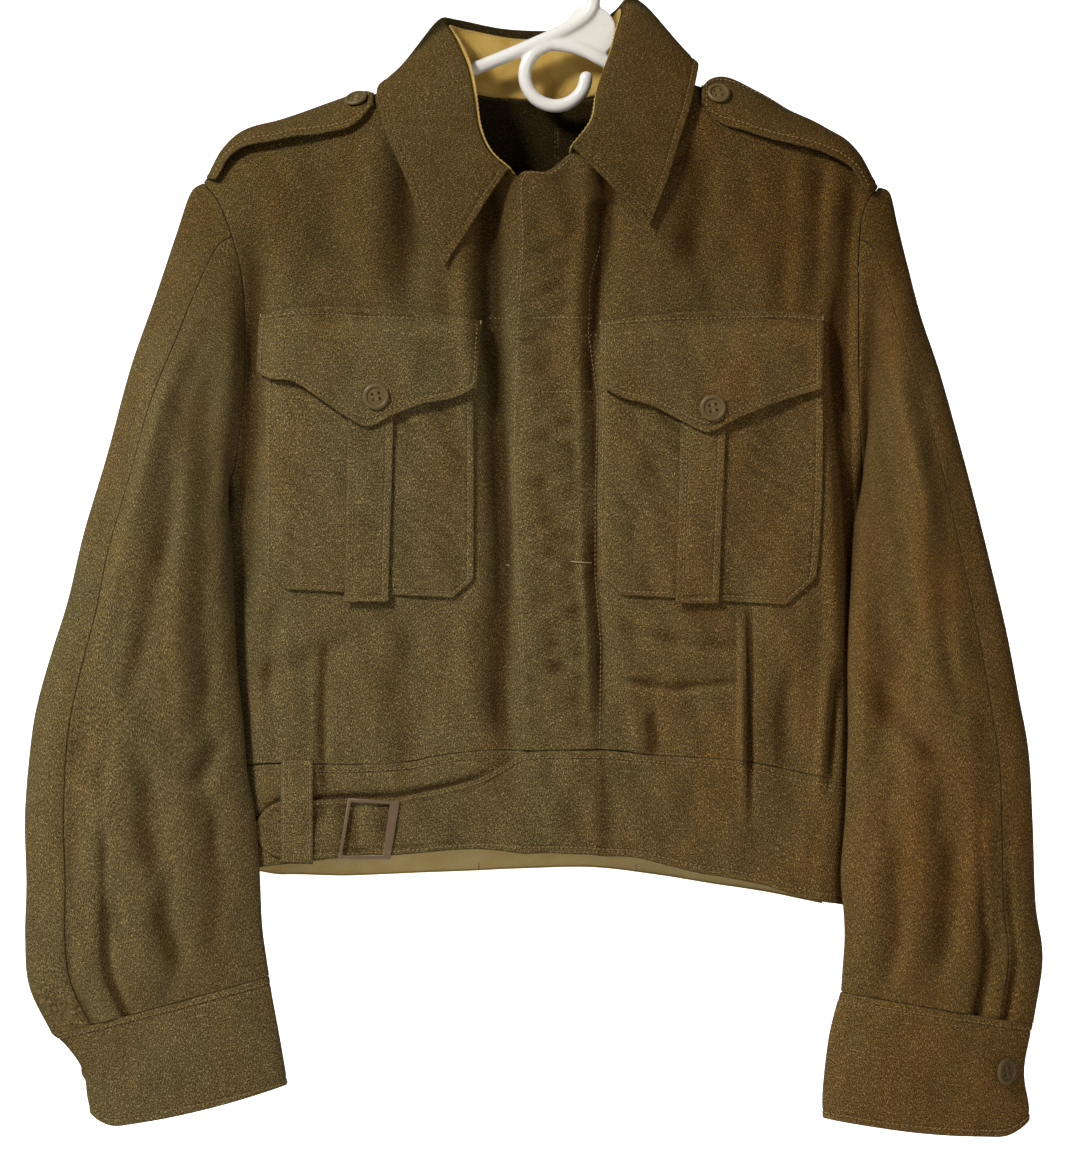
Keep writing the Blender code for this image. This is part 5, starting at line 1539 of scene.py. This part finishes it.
def band_grid(table):
    """x and z over a band, drawn in toward the hem with the body's sides."""
    place = np.array(table, float)
    gone = lengths(place[None, :, :2], 1)[0]
    number = np.interp(spread(gone[-1], BAND_STEP) * gone[-1], gone, np.arange(len(place)))
    x, top, foot = through(np.column_stack([np.arange(len(place)), place]))(number)
    z = top - BAND_DROP + BAND_SHARES * (foot - top)
    at_left = x < BODY_CENTRE
    edge_now = np.where(at_left, *body_sides(z))
    edge_first = np.where(at_left, *body_sides(top))
    outermost = np.abs(x - edge_first) < 0.5
    scaled = BODY_CENTRE + (x - BODY_CENTRE) * (edge_now - BODY_CENTRE) / (edge_first - BODY_CENTRE)
    return np.where(outermost, edge_now, scaled), z


# %% Left band, pressed in where the belt draws over it
SUNK = 2.6  # how far the belt's upper edge presses it in
bands = {}
x, z = band_grid(WAISTBAND_LEFT)
belt_x, belt_top = np.array(sorted(row[:2] for row in WAISTBAND_RIGHT)).T
above_belt = z - (np.interp(x, belt_x, belt_top) - BAND_DROP)
drawn = rise(x, -238, -215) * (1 - rise(x, -75, -40))
bands["left"] = lay_on_front("waistband_left", x, z, -SUNK * hump(above_belt, 1.0, 3.0) * drawn)

# %% Right band, gathered in the buckle
x, z = band_grid(WAISTBAND_RIGHT)
gathered = 1.6 * hump(x, -139, 9) + 1.2 * hump(x, -166, 6)
ruck = 2.4 * hump(z, -640, 7) * hump(x, -170, 14)
wave = ripple(x, z, 71, 60, 60, 0.5) + gathered * rise(z, -662, -640) - ruck
bands["right"] = lay_on_front("waistband_right", x, z, belt_lift(x, z) + wave)

# %% Back band, drawn up so that the hems meet at the left side seam
DRAWN_UP = 5.0  # at the side seam, fading out toward the middle
x, z = band_grid(WAISTBAND_BACK)
z = z + DRAWN_UP * (1 - rise(x, -236, -200)) * BAND_SHARES
back_band = (x, z)
bands["back"] = lay_cloth("cloth_waistband_back", on_back(x, z), BACK_WAY, serge, groove=GROOVE)
for part, away, sides, under in (
    ("left", GROOVE, ("last", "first"), "front_left"),
    ("right", 4.5, ("last", "first"), "front_right"),
    ("back", GROOVE, ("last",), "back_left"),
):
    node = f"waistband_{part}"
    hang(bands[part], node, [stitched(node, sides, away, 6)])

# %% Drill strip inside the band
INNER = slice(7, -12)  # columns of the back band that the strip lines
STRIP_DEPTH = SERGE + LAYER_GAP + 0.3  # inside the band's own face
x, z = back_band[0][:, INNER], back_band[1][:, INNER]
raised = 2.5 * (1 - rise(x[-1], -200, -150))
foot = z[-1] - LINING_DROP + raised
strip_z = foot + LINING_HEIGHT * spread(LINING_HEIGHT, 3.0)[::-1, None]
strip_x = np.broadcast_to(x[-1], strip_z.shape)
held_z = np.maximum(strip_z, z[-1])
strip = np.stack([strip_x, back_height(strip_x, held_z) - STRIP_DEPTH, strip_z], axis=-1)
strip_piece = lay_cloth("cloth_waistband_lining", strip, BACK_WAY, hem_drill, thickness=0.7)
ticks = []
for middle in (-60.5, 51.0):
    column = int(np.abs(strip[-1, :, 0] - middle).argmin())
    ticks.append((strip[-6:, column] - (0, 0.9, 0), np.tile(FRONT_WAY, (6, 1))))
strip_thread = trim(sew("waistband_lining_stitches", ticks, pitch=1.6, length=1.6), "drill")
hang(strip_piece, "waistband_lining", [strip_thread])

# %% Belt loop
width = LOOP_X[1] - LOOP_X[0]
down = np.linspace(LOOP_ROWS[0][0], LOOP_ROWS[-1][0], 38)[:, None]
over = through([(-z, share) for z, share in LOOP_ROWS])(-down)
x, z = np.broadcast_arrays(LOOP_X[0] + spread(width, 1.8)[None] * width, down)
lift = LAYER + over * (LAYER + LOOP_CLEARANCE)
loop = lay_on_front("belt_loop", x, z, lift, groove=0.0)
stitches = stitched("belt_loop", ("left", "right"), 3.6, 1)
hang(loop, "belt_loop", [stitches])

# %% Buckle
def flat_frame(name, outline, opening, thickness, soft):
    """A flat plate with an opening and softened edges, facing -Y."""
    shape = bpy.data.curves.new(name, "CURVE")
    shape.dimensions = "2D"
    shape.fill_mode = "BOTH"
    shape.extrude = (thickness / 2 - soft) * MM
    shape.bevel_depth = soft * MM
    shape.bevel_resolution = 3
    for corners in (outline, opening):
        spline = shape.splines.new("POLY")
        spline.points.add(len(corners) - 1)
        spline.use_cyclic_u = True
        for point, (x, z) in zip(spline.points, corners):
            point.co = (x * MM, z * MM, 0, 1)
    guide = bpy.data.objects.new(name, shape)
    scene.collection.objects.link(guide)
    depsgraph = bpy.context.evaluated_depsgraph_get()
    mesh = bpy.data.meshes.new_from_object(guide.evaluated_get(depsgraph))
    bpy.data.objects.remove(guide)
    bm = bmesh.new()
    bm.from_mesh(mesh)
    bmesh.ops.remove_doubles(bm, verts=bm.verts, dist=MERGE)
    bmesh.ops.rotate(bm, verts=bm.verts, cent=(0, 0, 0), matrix=upright.to_3x3())
    bmesh.ops.recalc_face_normals(bm, faces=bm.faces)
    return bm


def grown(corners, wide, high):
    """Corners moved away from their middle, or toward it where wide and high are negative."""
    middle = np.mean(corners, axis=0)
    return [tuple(corner + np.sign(corner - middle) * (wide, high)) for corner in corners]


EDGE_SOFTNESS = 0.6  # how far softening the edges swells the frame
outline = grown(BUCKLE_OUTLINE, -EDGE_SOFTNESS, -EDGE_SOFTNESS)
opening = grown(BUCKLE_OPENING, 1.7, 1.4)  # its bars are a little thinner than the solid's
bm = flat_frame("buckle", outline, opening, BUCKLE_THICKNESS, EDGE_SOFTNESS)
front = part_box("buckle")[0][1]
low = min(vertex.co.y for vertex in bm.verts)
bmesh.ops.translate(bm, verts=bm.verts, vec=(0, front - low, 0))
trim(small_piece("painted_buckle", bm, buckle_brown), "buckle_brown", "buckle")

# %% [markdown]
# ## Buttons
# The buttons are pressed: a dished middle with four holes inside a raised rim. The profile is
# spun round its axis, four cylinders are cut out for the holes, and two bars of thread cross
# between them.

# %% Sizes of a button
BUTTON = 19.0
SMALL_BUTTON = 16.5
BUTTON_THICKNESS = 3.2
HOLE_RADIUS = 1.1
HOLE_OFFSET = 2.1
CUFF_BUTTON_LIFT = 0.4
DISH = 0.56  # height of the dished middle, as a share of the thickness
THREAD_BAR = (2.2, 0.24, 0.75)  # half length, width and height of a bar of thread
PROFILE = [  # share of the radius, share of the thickness, from the face's middle to the back's
    (0, 0.62), (0.52, 0.62), (0.60, DISH), (0.66, DISH), (0.71, 0.92), (0.78, 1.0), (0.86, 1.0),
    (0.95, 0.86), (1.0, 0.6), (0.97, 0.3), (0.86, 0.05), (0.7, 0.0), (0, 0.0),
]


# %% Button
def rod(bm, radius, length, segments, place):
    """A round rod or disc in millimetres."""
    bmesh.ops.create_cone(
        bm, cap_ends=True, segments=segments, radius1=radius * MM, radius2=radius * MM,
        depth=length * MM, matrix=place,
    )


def cut_button(diameter):
    """A button with its face up, as a mesh in metres."""
    bm = bmesh.new()
    points = [(diameter / 2 * r * MM, 0, BUTTON_THICKNESS * h * MM) for r, h in PROFILE]
    verts = [bm.verts.new(point) for point in points]
    edges = [bm.edges.new(pair) for pair in zip(verts, verts[1:])]
    bmesh.ops.spin(
        bm, geom=verts + edges, cent=(0, 0, 0), axis=(0, 0, 1), angle=2 * math.pi, steps=40,
        use_merge=True,
    )
    bmesh.ops.remove_doubles(bm, verts=bm.verts, dist=MERGE)
    bmesh.ops.recalc_face_normals(bm, faces=bm.faces)
    body = small_piece("button_blank", bm, button_brown)
    bm = bmesh.new()
    for x, y in ((1, 1), (-1, 1), (-1, -1), (1, -1)):
        place = Matrix.Translation((x * HOLE_OFFSET * MM, y * HOLE_OFFSET * MM, 0))
        rod(bm, HOLE_RADIUS, 20, 16, place)
    holes = small_piece("button_holes", bm, button_brown, smooth=False)
    cut = body.modifiers.new("holes", "BOOLEAN")
    cut.object = holes
    depsgraph = bpy.context.evaluated_depsgraph_get()
    mesh = bpy.data.meshes.new_from_object(body.evaluated_get(depsgraph))
    for guide in (body, holes):
        bpy.data.objects.remove(guide)
    mesh.set_sharp_from_angle(angle=math.radians(40))
    return mesh


button_meshes = {size: cut_button(size) for size in (BUTTON, SMALL_BUTTON)}


def place_button(node, seat, normal, size, twist=0.2):
    """A button on its seat in millimetres, with its thread."""
    turn = Vector(normal).to_track_quat("Z", "Y").to_matrix().to_4x4()
    where = Matrix.Translation(Vector(seat) * MM) @ turn @ Matrix.Rotation(twist, 4, "Z")
    bm = bmesh.new()
    bm.from_mesh(button_meshes[size])
    bmesh.ops.transform(bm, matrix=where, verts=bm.verts)
    mesh = bpy.data.meshes.new(f"cut_{node}")
    bm.to_mesh(mesh)
    bm.free()
    mesh.materials.clear()
    mesh.materials.append(button_brown)
    button = bpy.data.objects.new(f"cut_{node}", mesh)
    collection.objects.link(button)
    trim(button, "button_brown", node)
    bm = bmesh.new()
    height = BUTTON_THICKNESS * DISH - 0.35
    size = Matrix.Diagonal((*(half * MM for half in THREAD_BAR), 1))
    for y in (-HOLE_OFFSET, HOLE_OFFSET):
        for shift in (-0.3, 0.3):
            bar = where @ Matrix.Translation((0, (y + shift) * MM, height * MM)) @ size
            bmesh.ops.create_uvsphere(bm, u_segments=10, v_segments=8, radius=1, matrix=bar)
    return trim(small_piece(f"{node}_thread", bm, thread), "serge")


# %% Buttons in place
for side, x, z in (("left", -133.0, -344.5), ("right", 105.0, -352.5)):
    seat = on_front(x, z, flap_lifts[side](x, z) + LAYER_GAP)
    place_button(f"pocket_button_{side}", seat, (0, -1, 0), BUTTON)
for side, (seat, normal) in strap_seats.items():
    place_button(f"strap_button_{side}", seat + normal * LAYER_GAP, normal, SMALL_BUTTON)
for side, lean in (("left", 0.0), ("right", 0.55)):
    middle = np.mean(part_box(f"cuff_button_{side}"), axis=0) / MM
    seat, normal = nearest_on(f"cloth_cuff_{side}", middle)
    seat = seat + normal * (CUFF_BUTTON_LIFT + lean * 3)  # a tilted button stands higher
    place_button(f"cuff_button_{side}", seat, unit(normal + (lean, 0, 0)), BUTTON)

# %% [markdown]
# ## Hanger
# The hanger is one moulding of white plastic tube. Its rods are drawn as round tubes through the
# same points as the solid, and a voxel remesh melts them into one skin with small fillets where
# they meet, as a mould leaves them.

# %% Hanger
ROD_RADIUS = 5.0
ARM_DROP = 9.5  # from the shoulder seam's face to the middle of an arm
HOOK_RADIUS = 21.5
HOOK_CENTRE_Z = ROD_RADIUS - HOOK_RADIUS
CURL_RADIUS = 22.0
CURL_CENTRE = (-6.0, -113.0)
WEB_RADIUS = 19.0
WEB_CENTRE = (18.5, -82.0)
WEB_THICKNESS = 2.5


def arc(centre, radius, start, end, steps):
    """Points on an arc in x and z, its angles in degrees from +X toward +Z."""
    angles = np.radians(np.linspace(start, end, steps))
    return [(centre[0] + radius * math.cos(a), centre[1] + radius * math.sin(a)) for a in angles]


def under_shoulder(*places):
    """Points of an arm that the shoulder seam rests on."""
    return [(x, float(shoulder(x)) - ARM_DROP) for x in places]


def tube(points):
    """A round rod through points in x and z, as a curve."""
    shape = bpy.data.curves.new("tube", "CURVE")
    shape.dimensions = "3D"
    shape.bevel_depth = ROD_RADIUS * MM
    shape.bevel_resolution = 6
    shape.use_fill_caps = True
    spline = shape.splines.new("POLY")
    spline.points.add(len(points) - 1)
    for point, (x, z) in zip(spline.points, points):
        point.co = (x * MM, 0, z * MM, 1)
    return shape


def fine(points, steps=4):
    """The same course with more points."""
    table = np.array(points, float)
    at = through(np.column_stack([np.arange(len(table)), table]))
    return list(zip(*at(np.linspace(0, len(table) - 1, (len(table) - 1) * steps + 1))))


left = under_shoulder(-217, -203, -175, -145, -117)
left += [(-70, -111), (-31, -95), (-3, -82.5), (12, -74), (19.5, -66), (21.5, -56), (21.5, -38)]
left += arc((0, HOOK_CENTRE_Z), HOOK_RADIUS, 0, 180, 12)
right = under_shoulder(174, 162, 150, 120, 90, 65)
right += [(31, -104), (12, -94.5)] + arc(CURL_CENTRE, CURL_RADIUS, 90, 355, 16)
bm = bmesh.new()
for course in (fine(left), fine(right)):
    guide = bpy.data.objects.new("tube", tube(course))
    scene.collection.objects.link(guide)
    depsgraph = bpy.context.evaluated_depsgraph_get()
    bm.from_mesh(bpy.data.meshes.new_from_object(guide.evaluated_get(depsgraph)))
    bpy.data.objects.remove(guide)
for x, z in (left[-1], right[-1], left[0], right[0]):
    bmesh.ops.create_uvsphere(
        bm, u_segments=24, v_segments=16, radius=(ROD_RADIUS - 0.1) * MM,
        matrix=Matrix.Translation((x * MM, 0, z * MM)),
    )
disc = Matrix.Translation((WEB_CENTRE[0] * MM, 0, WEB_CENTRE[1] * MM)) @ upright
rod(bm, WEB_RADIUS, WEB_THICKNESS, 48, disc)
hanger = small_piece("moulded_hanger", bm, white_plastic)
melt = hanger.modifiers.new("melt", "REMESH")
melt.mode = "VOXEL"
melt.voxel_size = 1.1 * MM
melt.use_smooth_shade = True
relax = hanger.modifiers.new("relax", "SMOOTH")
relax.factor = 0.5
relax.iterations = 6
trim(hanger, "white_plastic", "hanger")
